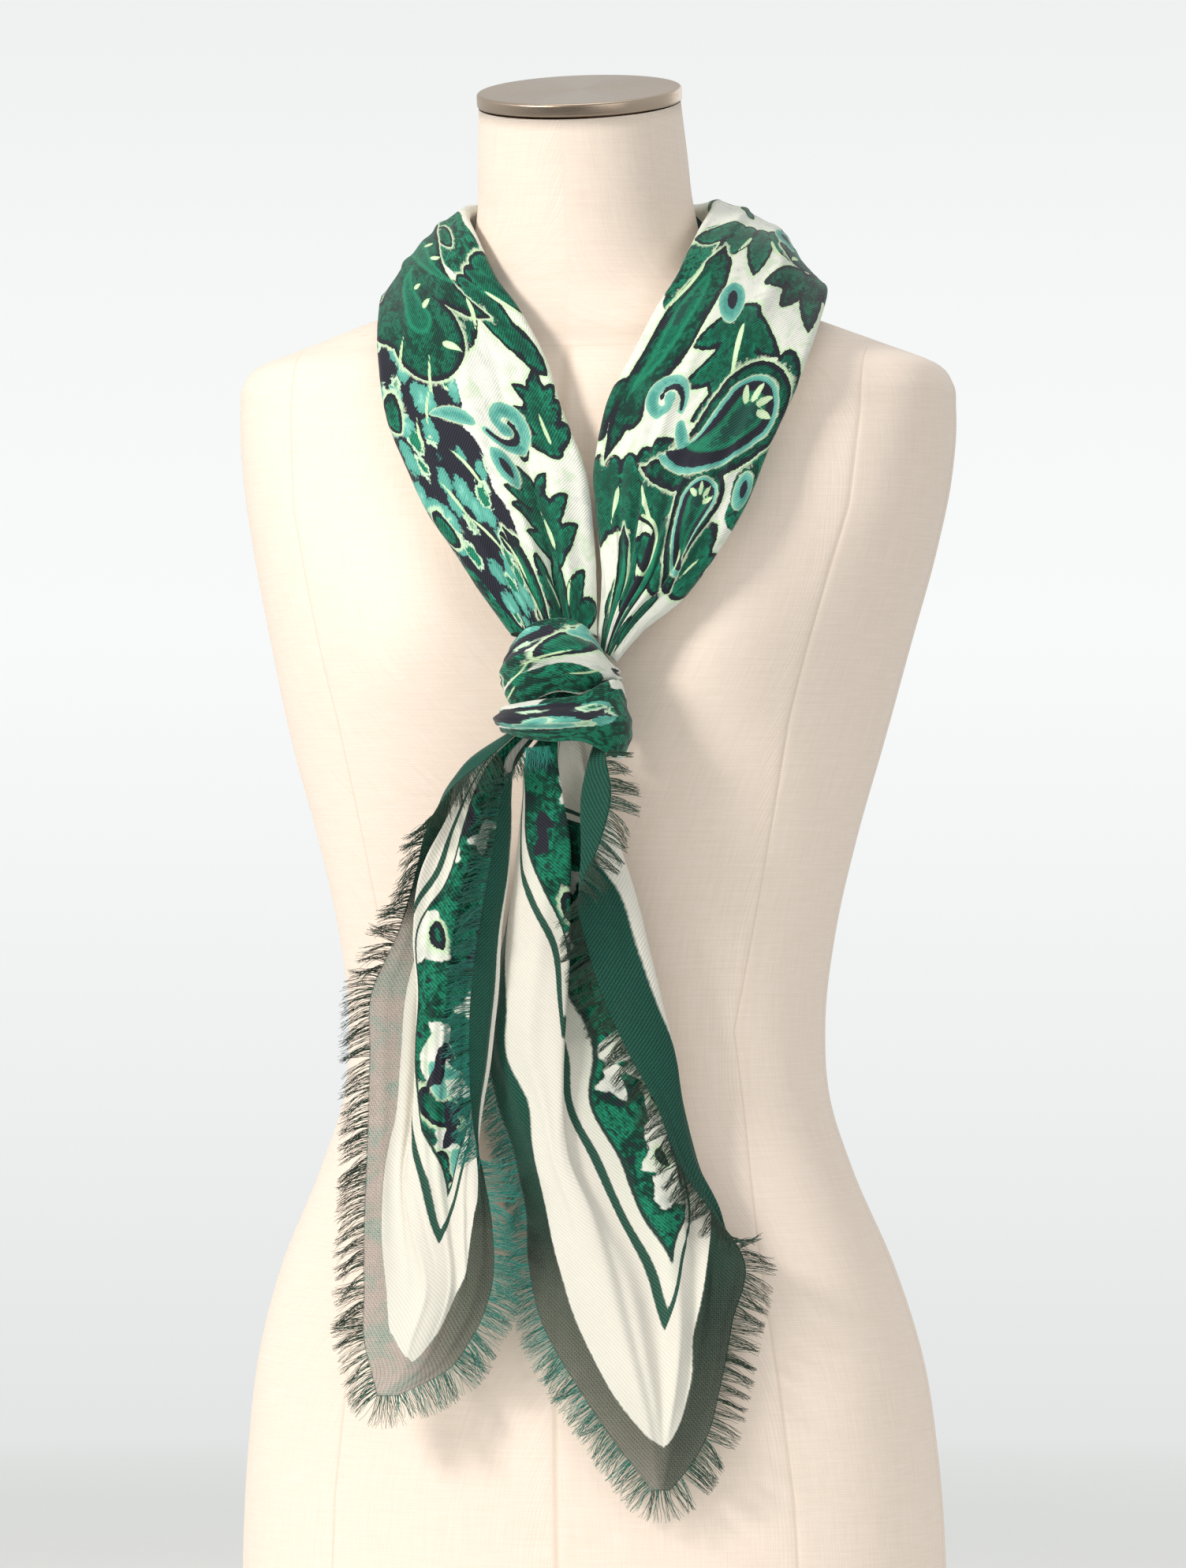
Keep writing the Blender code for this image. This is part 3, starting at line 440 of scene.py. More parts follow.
def buildForm():
    table = np.array(formLevels, float)
    rows = np.concatenate([np.arange(*run) for run in form["rowRuns"]])
    rows[-1] = table[-1, 0]
    half, middle, front, back, square, tilt = curveThrough(table[:, 0], table[:, 1:], rows).T
    ahead = formAngle(np.interp(rows, *np.transpose(form["frontSeam"])), half, square)
    behind = formAngle(np.interp(rows, *np.transpose(form["backSeam"])), half, square)
    zero = np.zeros(len(rows))
    seams = [zero - pi / 2, -ahead, zero, behind, zero + pi / 2, pi - behind, zero + pi, pi + ahead,
             zero + 3 * pi / 2]
    panels = len(seams) - 1

    # columns close together at the seams, where the cover is drawn in
    near, drawn = np.transpose(form["seamShape"])
    share = np.concatenate((near, np.linspace(0.1, 0.9, form["columnsBetween"]), 1 - near[:0:-1]))
    pull = np.tile(np.interp(np.minimum(share, 1 - share), near, drawn), panels)
    around = np.concatenate([a[:, None] + (b - a)[:, None] * share for a, b in zip(seams, seams[1:])], 1)
    c, s = np.cos(around), np.sin(around)
    x = half[:, None] * np.sign(c) * np.abs(c) ** (2 / square[:, None])
    reach = np.where(s < 0, front[:, None], back[:, None])
    out = reach * np.sign(s) * np.abs(s) ** (2 / square[:, None])
    bust = form["bust"]
    rise = bust["rise"] * np.exp(-((np.abs(x) - bust["x"]) / bust["across"]) ** 2
                                 - ((rows[:, None] - bust["z"]) / bust["along"]) ** 2)
    out = out - rise * np.clip(-s * bust["frontness"], 0, 1)
    lean = np.radians(tilt)[:, None]
    grid = np.stack([x, middle[:, None] + out * np.cos(lean), rows[:, None] + out * np.sin(lean)], 2)
    outward = gridNormals(np.concatenate((grid[:, -1:], grid, grid[:, :1]), 1))[:, 1:-1]
    outward *= np.sign((outward[..., :2] * (grid[..., :2] - (0, form["middleY"]))).sum(2))[..., None]
    below, above = form["seamTop"] - rows[:, None], rows[:, None]
    fade = np.clip(below / form["seamFade"], 0, 1) * np.clip(above / form["seamFade"], 0, 1)
    grid += outward * (pull * form["seamDepth"] * fade)[..., None]

    # the cover's own place, mm round and up, and how far each place is from a seam
    count, columns = x.shape
    step = np.linalg.norm(np.diff(grid, axis=1, append=grid[:, :1]), axis=2)
    length = np.cumsum(step, axis=1)
    length -= length[:, [columns // 4]]
    cloth = np.stack([length, grid[..., 2], np.zeros_like(length)], 2)
    onPanel = np.tile(np.minimum(share, 1 - share) * form["panelWidth"], panels)
    seam = np.where(below > 0, onPanel[None, :], form["farFromSeam"])
    neck = form["neckSeam"]
    ring = np.abs(grid[..., 2] - neck["front"] - neck["slope"] * (grid[..., 1] - neck["y"]))
    seam = np.minimum(seam, ring)

    points = np.concatenate((grid.reshape(-1, 3), [[0, middle[0], 0], [0, middle[-1], rows[-1]]]))
    faces = gridFaces(count, columns, closed=True)
    bottom, top = len(points) - 2, len(points) - 1
    ringStart = (count - 1) * columns
    faces += [[bottom, (j + 1) % columns, j] for j in range(columns)]
    faces += [[top, ringStart + j, ringStart + (j + 1) % columns] for j in range(columns)]
    made = addPiece("linenForm", points, faces, linenCover, {
        "cloth": np.concatenate((cloth.reshape(-1, 3), np.zeros((2, 3)))),
        "seam": np.append(seam.ravel(), [form["farFromSeam"]] * 2)})
    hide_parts("form_torso")


cap = {
    "diameter": 107, "thickness": 7.5, "edge": 1.6, "gap": 0.3, "lip": 1.5,  # mm
    "rings": (0.01, 12, 24, 36, 45), "bevelRings": 7, "sides": 128,
    "faceBrush": 0.05, "sideBrush": (0.04, 2.2),  # how the brushing is drawn out, on the faces and the side
    "sideBelow": 0.4, "sideApart": 40.0,          # mm under a face; mm between the two parts' brushing
    "sharpFrom": 50,                              # degrees
}


def buildCap():
    radius, thick, edge = cap["diameter"] / 2, cap["thickness"], cap["edge"]
    bevel = np.linspace(0, pi / 2, cap["bevelRings"])
    inner = [(r, thick / 2) for r in (*cap["rings"], radius - edge - cap["lip"])]
    upper = inner + [(radius - edge + edge * sin(t), thick / 2 - edge + edge * cos(t)) for t in bevel]
    profile = upper + [(r, -z) for r, z in upper[::-1]]
    angle = np.arange(cap["sides"]) * 2 * pi / cap["sides"]
    rings = np.array([[(r * cos(a), r * sin(a), z) for a in angle] for r, z in profile])
    x, y, z = rings[..., 0], rings[..., 1], rings[..., 2]

    onSide = np.abs(z) < thick / 2 - cap["sideBelow"]
    around, up = cap["sideBrush"]
    faceLines = np.stack([x * cap["faceBrush"], y, np.zeros_like(x)], 2)
    sideLines = np.stack([angle * radius * around + np.zeros_like(x), z * up,
                          np.full(x.shape, cap["sideApart"])], 2)
    brushed = np.where(onSide[..., None], sideLines, faceLines)

    height, middleY, tilt = formLevels[-1][0], formLevels[-1][2], radians(formLevels[-1][6])
    lift = cap["gap"] + thick / 2 + z
    placed = np.stack([x, middleY + y * cos(tilt) - lift * sin(tilt),
                       height + y * sin(tilt) + lift * cos(tilt)], 2)
    made = addPiece("nickelCap", placed, gridFaces(len(profile), cap["sides"], closed=True), nickelPlate,
                    {"brushed": brushed})
    made.data.set_sharp_from_angle(angle=radians(cap["sharpFrom"]))
    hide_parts("neck_cap")


buildForm()
buildCap()
print("dress form built")


# The loop's sections, from the knot up the left, behind the neck and down the right: inner edge
# x, y, z, outer edge x, y, z, radius of the rolled edges, swell of the face
loopSections = (
    (2.5, -143, 561,  -41, -139, 562,  5.0, 2),
    (2.3, -139, 578,  -53, -133, 579,  5.5, 3),
    (1.8, -133, 600,  -67, -124, 600,  5.5, 4),
    (-0.5, -123, 627,  -84, -109, 625,  5.0, 5),
    (-4.8, -112, 651,  -96,  -92, 652,  4.5, 6),
    (-15, -100, 679, -105,  -78, 675,  4.0, 6),
    (-23,  -88, 705, -109,  -67, 698,  3.8, 6),
    (-36,  -80, 730, -110,  -53, 717,  3.6, 6),
    (-48,  -71, 747, -109,  -34, 730,  3.5, 5),
    (-59,  -49, 771, -107,   -9, 739,  3.5, 4),
    (-63,  -18, 786, -101,   28, 741,  3.5, 4),
    (-50,   20, 791,  -84,   64, 734,  3.5, 5),
    (-28,   38, 793,  -46,   87, 727,  3.5, 7),
    (0,     44, 793,    0,   96, 724,  3.5, 7),
    (30,    39, 792,   48,   90, 727,  3.5, 7),
    (53,    18, 791,   86,   66, 734,  3.5, 8),
    (61,   -14, 790,  106,   28, 743,  3.6, 10),
    (54,   -53, 775,  117,  -12, 744,  3.6, 9),
    (43,   -84, 750,  120,  -47, 738,  3.8, 7),
    (31,   -91, 728,  111,  -95, 709,  3.8, 6),
    (18,   -95, 703,  101, -103, 683,  4.0, 6),
    (7,   -103, 680,   91, -112, 660,  4.0, 6),
    (1,   -113, 647,   79, -126, 630,  4.5, 5),
    (1.8, -124, 625,   64, -137, 604,  5.0, 4),
    (4.1, -135, 600,   46, -142, 581,  5.0, 3),
    (4.4, -141, 579,   26, -146, 565,  4.0, 2),
    (2.5, -144, 557,   12, -146, 549,  3.0, 1),
)

# Creases on the loop: from section, to section, share of the width there, height, half width, lean
loopCreases = (
    (-1, 5.5, 0.42, 0.44, 5.0, 0.17, 0.6),
    (-1, 4.0, 0.15, 0.12, 3.5, 0.09, 0.0),
    (20, 27, 0.22, 0.26, 3.0, 0.10, 0.0),
    (21, 27, 0.46, 0.50, 3.5, 0.11, -0.3),
    (20, 27, 0.72, 0.74, 3.5, 0.11, -0.3),
    (9, 18, 0.45, 0.50, 3.0, 0.16, 0.3),
    # softer ones
    (-1, 6.5, 0.30, 0.27, -3.7, 0.045, 0.2),
    (-1, 3.2, 0.62, 0.66, 2.7, 0.05, 0.0),
    (-1, 4.6, 0.80, 0.86, 2.2, 0.06, 0.3),
    (3.5, 9.5, 0.55, 0.35, 1.9, 0.09, 0.2),
    (6, 11, 0.80, 0.62, 1.7, 0.07, -0.2),
    (9, 14, 0.22, 0.30, 2.2, 0.07, 0.0),
    (11, 17, 0.78, 0.72, 2.5, 0.08, 0.3),
    (13, 19, 0.25, 0.12, 2.0, 0.07, -0.2),
    (16, 22, 0.60, 0.66, 2.0, 0.09, 0.2),
    (18, 24, 0.33, 0.40, 1.7, 0.06, 0.0),
    (20.5, 27, 0.34, 0.37, 3.1, 0.035, 0.3),
    (21.5, 27, 0.60, 0.62, 3.4, 0.040, -0.3),
    (19.5, 27, 0.86, 0.88, 2.7, 0.050, 0.2),
    (22, 27, 0.10, 0.13, 2.5, 0.040, 0.0),
)

# The knot's two turns: x, y, lower edge z, upper edge z, swell
knotWrap = (
    (-34, -122, 532, 554, 1),
    (-41, -134, 528, 556, 3),
    (-41, -148, 527, 558, 4),
    (-33, -158, 530, 567, 7),
    (-18, -162, 535, 571, 9),
    (-4,  -160, 533, 567, 8),
    (4,   -153, 533, 556, 5),
    (9,   -143, 537, 549, 3),
    (9,   -130, 539, 546, 1),
)
knotBand = (
    (-37, -122, 514, 525, 1),
    (-45, -135, 514, 526, 2),
    (-46, -149, 515, 526, 2),
    (-38, -163, 512, 528, 3),
    (-22, -171, 510, 530, 4),
    (-6,  -171, 510, 532, 5),
    (6,   -165, 505, 538, 4),
    (14,  -155, 501, 539, 3),
    (16,  -142, 502, 530, 2),
    (12,  -130, 506, 524, 1),
)
knot = {
    "middle": (-15, -142, 541), "coreSize": (23, 16, 18),
    "coreLayers": (0.05, 7),     # share that the hidden layers swell and sink, how many there are
    "corePoints": (40, 64),      # rings from the top down, points round
    "hem": 2.2, "hemParts": 5,   # mm of the cloth's edge, turned under, at most a fifth of a turn's width
    "hemFlat": 0.6, "hemPoints": 7,
    "flatAround": (0, 110), "flatUp": (-6, 66),  # mm of cloth round the knot, and across each turn
    "soft": (0.35, 9, 21),       # uneven lie: mm high, mm across, seed
    "rows": 110, "columns": 60,  # points round each turn and across it
    # share of the height at the left, at the right, how far it stands up, half width
    "wrapCreases": ((0.75, 0.30, 2.2, 0.14), (0.35, 0.75, 1.8, 0.12), (0.15, 0.42, 1.1, 0.06),
                    (0.90, 0.55, 1.2, 0.06), (0.55, 0.10, -1.2, 0.05), (0.62, 0.90, -1.0, 0.05)),
    "bandCreases": ((0.60, 0.30, 1.8, 0.18), (0.25, 0.62, 1.0, 0.07), (0.85, 0.75, -0.9, 0.06)),
}

# The tails' guide lines: height, then how far right each guide lies, and how far forward
tailPlane = (  # height, y
    (120, -123), (180, -123), (250, -121), (317, -120), (381, -123), (431, -129), (481, -137),
    (520, -141),
)
leftRightward = (
    # height, outer edge, turn, under, crest, valley, bulge, dip, flank, fold's back, fold's
    # front, inner edge
    (514, -38, -42, -42, -40, -38, -36, -34.5, -33, -31, -29, -27),
    (501, -53, -62, -60, -55, -52, -49, -47, -44.5, -42, -39, -37),
    (487, -70, -74, -64, -66, -61, -55, -50, -46, -43, -41, -45),
    (469, -83, -79, -70, -76, -68, -60, -54, -49, -43, -41, -48),
    (445, -90, -84, -74, -89, -77, -67, -60, -52, -44, -42, -52),
    (413, -99, -90, -79, -93, -84, -74, -66, -57, -48, -46, -58),
    (381, -113, -97, -83, -91, -85, -78, -70, -60, -50, -48, -62),
    (349, -114, -99, -85, -92, -86, -79, -72, -63, -54, -52, -63),
    (317, -115, -101, -90, -93, -87, -80, -73, -65, -58, -57, -61),
    (289, -116, -102, -95, -92, -86, -79, -72, -66, -61, -58, -56),
    (261, -117, -101, -93, -87, -81, -75, -70, -65, -60, -55, -51),
    (229, -117, -99, -89, -82, -77, -73, -69, -65, -61, -56, -52),
    (205, -117, -104, -96, -90, -85, -81, -77, -74, -70, -66, -62),
    (187, -113, -105, -101, -97, -94, -91, -89, -86, -83, -80, -77),
    (176, -110, -109, -108, -107, -106, -105, -104, -103, -102, -101, -100),
)
leftForward = (
    (514, 16, 13, 8, 5, 4, 4, 5, 6, 7, 8, 9),
    (501, 21, 16, 6, 5, 8, 9, 8, 7, 7, 8, 11),
    (487, 18, 8, -1, 12, 7, 13, 7, 8, 4, 9, 14),
    (469, 4, 0, -4, 10, 6, 15, 6, 8, 4, 11, 17),
    (445, 0, -3, -5, 9, 6, 15, 7, 10, 5, 13, 19),
    (413, -1, -4, -5, 8, 7, 14, 9, 12, 7, 14, 19),
    (381, 0, -3, -4, 8, 9, 14, 11, 12, 8, 14, 19),
    (349, 0, -3, -4, 8, 9, 13, 12, 12, 8, 14, 19),
    (317, 0, -2, -3, 7, 9, 12, 12, 12, 9, 13, 17),
    (289, 1, -1, 0, 7, 10, 12, 11, 10, 10, 10, 9),
    (261, 2, 2, 4, 8, 10, 11, 11, 10, 10, 10, 10),
    (229, 3, 5, 7, 9, 10, 10, 10, 10, 9, 9, 9),
    (205, 4, 6, 8, 9, 10, 9, 8, 8, 8, 8, 8),
    (187, 5, 6, 7, 8, 8, 8, 7, 7, 6, 6, 6),
    (176, 6, 6, 6, 6, 6, 6, 6, 6, 6, 6, 6),
)
rightRightward = (
    # height, inner edge, wave, crest, tuck, panel, second crest, second tuck, fold, turn, outer
    # edge
    (514, -23, -24, -19, -16, -12, -8, -4, 0, 3, 5),
    (502, -29, -34, -19, -18, -12, -6, -3, 5, -3, 6),
    (481, -33, -36, -14, -18, -8, -1, -3, 8, -9, 9),
    (457, -37, -37, -10, -16, -4, 6, 4, 16, -8, 3),
    (431, -42, -38, -10, -16, -1, 13, 10, 25, -4, -8),
    (405, -46, -39, -10, -16, 1, 19, 16, 31, 9, -3),
    (377, -51, -40, -12, -18, 3, 25, 22, 38, 19, 6),
    (349, -54, -39, -14, -19, 5, 31, 28, 44, 30, 19),
    (325, -49, -30, -15, -17, 9, 37, 34, 47, 39, 32),
    (297, -40, -23, -14, -10, 14, 42, 40, 54, 48, 42),
    (269, -34, -15, -3, 6, 25, 46, 46, 62, 65, 61),
    (245, -33, -11, 5, 15, 34, 46, 50, 60, 69, 77),
    (213, -26, -3, 13, 23, 37, 46, 51, 58, 64, 71),
    (181, -8, 9, 21, 28, 38, 43, 48, 54, 60, 65),
    (153, 11, 21, 28, 31, 36, 39, 43, 47, 52, 57),
    (137, 23, 28, 31, 32, 35, 37, 39, 41, 44, 47),
    (128, 30, 31, 32, 33, 34, 35, 36, 37, 38, 39),
)
rightForward = (
    (514, 4, 9, 13, 12, 9, 8, 7, 8, 12, 16),
    (502, 1, 10, 18, 10, 5, 8, 4, 9, 17, 24),
    (481, 0, 11, 17, 8, 2, 6, 0, 8, 20, 27),
    (457, -2, 11, 17, 8, 3, 7, 0, 8, 21, 27),
    (431, -4, 12, 17, 8, 4, 8, 2, 8, 21, 25),
    (405, -5, 12, 18, 9, 4, 8, 2, 8, 17, 21),
    (377, -6, 13, 18, 9, 5, 9, 3, 7, 16, 19),
    (349, -4, 12, 18, 10, 6, 10, 4, 6, 14, 17),
    (325, 0, 13, 17, 11, 7, 11, 5, 5, 12, 16),
    (297, 2, 14, 17, 13, 8, 11, 6, 4, 10, 14),
    (269, 3, 14, 17, 14, 10, 11, 8, 4, 6, 10),
    (245, 4, 13, 16, 14, 11, 11, 9, 7, 7, 8),
    (213, 5, 12, 15, 14, 12, 11, 10, 9, 8, 7),
    (181, 7, 12, 14, 13, 12, 11, 10, 9, 8, 7),
    (153, 8, 11, 12, 12, 11, 11, 10, 9, 8, 8),
    (137, 9, 10, 11, 11, 10, 10, 9, 9, 8, 8),
    (128, 9, 9, 9, 9, 9, 9, 9, 9, 9, 9),
)

# How far a place on the cloth lies from the square's edge: height, then mm at each guide. The
# smaller of the two tables counts, so the bands turn the corner of the square
leftFromOuter = (
    (514, 0, 12, 30, 45, 70, 95, 104, 112, 120, 130, 140),
    (469, 0, 10, 28, 40, 74, 97, 105, 113, 121, 130, 140),
    (445, 0, 10, 30, 46, 69, 96, 104, 113, 121, 130, 140),
    (413, 0, 12, 40, 72, 95, 104, 112, 120, 128, 136, 145),
    (381, 0, 15, 40, 73, 95, 104, 114, 125, 137, 145, 155),
    (349, 0, 16, 45, 80, 92, 101, 110, 118, 126, 135, 145),
    (317, 0, 17, 45, 67, 85, 95, 104, 112, 120, 130, 140),
    (289, 0, 27, 50, 58, 70, 78, 89, 94, 99, 104, 110),
    (261, 0, 31, 45, 55, 66, 76, 84, 90, 95, 100, 105),
    (229, 0, 27, 37, 43, 48, 51, 54, 57, 60, 64, 68),
    (205, 0, 15, 22, 27, 31, 34, 37, 40, 43, 46, 49),
    (187, 0, 5, 8, 10, 12, 14, 15, 16, 17, 18, 19),
    (176, 0, 0.5, 1, 1.5, 2, 2.5, 3, 3.5, 4, 4.5, 5),
)
leftFromInner = (
    (514, 165, 155, 145, 135, 125, 115, 105, 96, 30, 16, 0),
    (317, 165, 155, 145, 135, 125, 115, 105, 96, 30, 16, 0),
    (289, 160, 150, 140, 130, 120, 110, 90, 62, 28, 14, 0),
    (261, 130, 120, 110, 95, 80, 66, 50, 27, 13, 7, 0),
    (229, 80, 62, 52, 40, 31, 24, 17, 13, 9, 4, 0),
    (205, 54, 40, 31, 26, 21, 16.8, 13.5, 11, 7.5, 3.5, 0),
    (187, 18, 15.5, 14, 13, 12, 10, 8, 6, 4, 2, 0),
    (176, 5, 4.5, 4, 3.5, 3, 2.5, 2, 1.5, 1, 0.5, 0),
)
rightFromInner = (
    (514, 0, 85, 110, 120, 130, 140, 150, 160, 170, 180),
    (481, 0, 85, 110, 120, 130, 140, 150, 160, 170, 180),
    (457, 0, 80, 120, 130, 140, 150, 160, 170, 180, 190),
    (431, 0, 60, 105, 130, 140, 150, 160, 170, 180, 190),
    (405, 0, 36, 85, 90, 100, 125, 150, 160, 170, 180),
    (377, 0, 24, 75, 78, 90, 110, 130, 150, 160, 170),
    (349, 0, 24, 60, 64, 87, 105, 120, 140, 150, 160),
    (325, 0, 20, 55, 62, 95, 110, 125, 140, 150, 160),
    (297, 0, 27, 42, 52, 84, 100, 116, 132, 146, 160),
    (269, 0, 31, 44, 55, 84, 100, 112, 124, 136, 148),
    (245, 0, 25, 42, 53, 76, 92, 104, 116, 128, 140),
    (213, 0, 22, 38, 50, 67, 80, 92, 104, 116, 128),
    (181, 0, 18, 30, 38, 50, 56, 62, 68, 74, 80),
    (153, 0, 10, 15, 17, 20, 23, 26, 29, 32, 35),
    (137, 0, 1.5, 2.5, 3.5, 4.5, 5.5, 6.5, 7.5, 8.7, 10),
    (128, 0, 0.5, 1, 1.4, 1.8, 2.2, 2.7, 3.1, 3.6, 4),
)
rightFromOuter = (
    (514, 120, 110, 100, 60, 45, 40, 35, 25, 12, 0),
    (481, 120, 110, 100, 60, 45, 40, 35, 25, 12, 0),
    (457, 150, 140, 130, 120, 110, 100, 90, 28, 14, 0),
    (431, 150, 140, 130, 120, 110, 100, 90, 25, 4, 0),
    (405, 150, 140, 130, 120, 110, 100, 90, 24, 8, 0),
    (377, 150, 140, 130, 120, 110, 100, 90, 22, 8, 0),
    (349, 150, 140, 130, 120, 110, 100, 88, 16.5, 7, 0),
    (325, 150, 140, 130, 120, 110, 100, 88, 12, 5, 0),
    (297, 150, 140, 130, 120, 108, 92, 88, 12, 6, 0),
    (269, 140, 130, 120, 110, 98, 88, 80, 12, 5, 0),
    (245, 150, 140, 130, 115, 100, 66, 40, 13, 7, 0),
    (213, 150, 130, 110, 90, 68, 42, 19, 11.5, 6, 0),
    (181, 140, 100, 80, 60, 38, 27, 19, 12, 5, 0),
    (153, 44, 32, 28, 24, 20, 17, 13, 9, 4.5, 0),
    (137, 10, 8.5, 7.5, 6.5, 5.5, 4.5, 3.5, 2.5, 1.5, 0),
    (128, 4, 3.6, 3.1, 2.7, 2.2, 1.8, 1.4, 1, 0.5, 0),
)

# How much the border covers, from one sheer layer to doubled cloth: height, first edge, last edge
leftCover = (
    (514, 1, 1), (440, 1, 1), (415, 0.6, 1), (340, 0.55, 1), (300, 0.55, 0.9), (260, 0.54, 0.72),
    (200, 0.51, 0.65), (176, 0.50, 0.55),
)
rightCover = (
    (514, 1, 1), (330, 1, 1), (280, 0.85, 0.95), (230, 0.67, 0.78), (190, 0.65, 0.73), (128, 0.60, 0.69),
)

# Soft creases down the tails: guide at the top, guide at the bottom, height at the top and the
# bottom, how far they stand up, half width in guides
leftCreases = (
    (0.6, 0.4, 440, 190, 1.4, 0.22), (1.6, 1.3, 470, 215, 1.8, 0.20), (2.6, 3.4, 500, 230, -1.3, 0.18),
    (3.7, 4.4, 505, 260, 1.6, 0.20), (4.6, 5.2, 420, 190, 1.4, 0.28), (5.6, 5.1, 505, 300, 1.4, 0.16),
    (6.5, 6.9, 500, 270, -1.4, 0.16), (7.4, 6.6, 380, 200, 1.3, 0.25), (9.4, 8.6, 450, 230, 1.4, 0.22),
    (2.2, 2.8, 300, 185, 1.6, 0.30),
    # broad folds, where the corner draws together
    (3.0, 2.6, 325, 180, 2.6, 0.95), (5.4, 6.0, 312, 184, -2.4, 0.85), (8.4, 7.7, 304, 181, 2.3, 0.80),
)
rightCreases = (
    (0.5, 0.7, 470, 200, 1.4, 0.20), (1.5, 1.3, 490, 240, 1.6, 0.16), (2.5, 2.2, 420, 170, 1.3, 0.25),
    (3.4, 3.0, 505, 250, -1.4, 0.18), (3.8, 4.3, 500, 330, 1.8, 0.16), (4.6, 4.2, 400, 190, 1.4, 0.25),
    (5.5, 5.8, 470, 230, 1.3, 0.20), (6.6, 7.2, 380, 190, -1.3, 0.20), (7.5, 7.7, 500, 390, 1.9, 0.18),
    (7.4, 6.4, 330, 160, 1.6, 0.25), (2.7, 3.6, 260, 140, 1.6, 0.30), (8.4, 8.2, 360, 170, 1.1, 0.25),
    # broad folds
    (1.5, 2.4, 332, 148, 2.9, 0.50), (3.2, 3.7, 306, 138, -2.7, 0.45), (4.5, 4.7, 292, 150, 2.4, 0.42),
    (6.4, 6.0, 284, 152, -2.2, 0.60),
)
cloth = {
    "thickness": 0.5,
    "loopRows": 470, "loopFace": 70,             # points along the loop and across its face
    "lapPoints": 5, "rollPoints": 9,
    "loopLap": 0.30,                             # share of the width that its edges lap under
    "flatWidth": 120,                            # mm of cloth across its face, gathered to the knot
    "fullWidth": 60,                             # mm; its creases are lower where it is narrower
    "loopSoft": ((0.5, 30, 3), (0.12, 7, 4)),    # uneven lie: mm high, mm across, seed
    "loopHeld": 1.5,                             # sections at each end where the knot holds it
    "tailRows": 226, "crowding": 1.25,           # rows lie closer towards the corner
    "leftSteps": 13, "rightSteps": 14,           # columns from guide to guide
    "foldRounding": 0.42, "foldSteps": 6,        # guides that a fold's bend is spread over
    "creaseWander": (0.12, 7, 5),                # guides to a side, waves along, shift between creases
    "ripples": ((0.55, 34), (0.12, 7)),          # uneven lie: mm high, mm across
    "edgeWave": (1.1, 19, 1.2),                  # mm high, mm along, guides in from the edge
    "coverTurns": (0.35, 0.3),                   # one edge's cover passes to the other's: from, over
    "fadeAt": (514, 12),                         # the lie is as the knot holds it: at a height, over mm
}


def creaseHeight(place, share):
    height = np.zeros_like(share)
    for start, end, shareStart, shareEnd, tall, half, lean in loopCreases:
        along = (place - start) / (end - start)
        if 0 < along < 1:
            off = (share - shareStart - (shareEnd - shareStart) * along) / half
            off = np.where(off < 0, off / (1 - lean), off / (1 + lean))
            height += tall * sin(pi * along) ** 0.7 * np.exp(-off ** 2 * 2)
    return height


def pathLength(points):  # from a path's first point to each of its points
    return np.concatenate(([0], np.cumsum(np.linalg.norm(np.diff(points, axis=0), axis=1))))


def loopGrid():  # points, flat places (along, across) and section numbers
    sections = np.array(loopSections, float)
    numbers = np.arange(len(sections))
    share = np.linspace(0, 1, cloth["loopFace"])
    places = np.linspace(0.01, len(sections) - 1.01, cloth["loopRows"])
    turn = np.linspace(0, pi, cloth["rollPoints"])[1:-1]
    flatEdge = np.zeros(cloth["lapPoints"])
    faceStart = len(flatEdge) + len(turn)
    faceEnd = faceStart + len(share) - 1
    nearby = 0.05  # of a section, to tell which way the loop runs
    grid, across = [], []
    for place in places:
        beside = [place, place + nearby, max(place - nearby, 0)]
        row, ahead, behind = curveThrough(numbers, sections, beside)
        inner, outer, roll, swell = row[:3], row[3:6], row[6], row[7]
        along = (ahead[:3] + ahead[3:6]) - (behind[:3] + behind[3:6])
        chord = outer - inner
        width = np.linalg.norm(chord)
        outward = np.cross(along, chord)
        outward /= np.linalg.norm(outward)
        lap = np.linspace(width * cloth["loopLap"], roll, len(flatEdge))
        face = roll + share * (width - 2 * roll)
        low = min(1, width / cloth["fullWidth"])
        lift = swell * np.sin(pi * share) + creaseHeight(place, share) * low
        side = np.concatenate((lap, roll - roll * np.sin(turn), face, width - roll + roll * np.sin(turn),
                               width - lap[::-1]))
        out = np.concatenate((flatEdge, roll - roll * np.cos(turn), 2 * roll + lift,
                              roll + roll * np.cos(turn), flatEdge))
        grid.append(inner + side[:, None] * chord / width + out[:, None] * outward)
        arc = pathLength(np.stack([side, out], 1))
        across.append((arc - arc[len(arc) // 2]) / (arc[faceEnd] - arc[faceStart]) + 0.5)
    grid, across = np.array(grid), np.array(across)
    length = pathLength(grid[:, grid.shape[1] // 2])
    flat = np.stack([np.repeat(length[:, None], grid.shape[1], 1), across * cloth["flatWidth"]], 2)
    return grid, flat, places


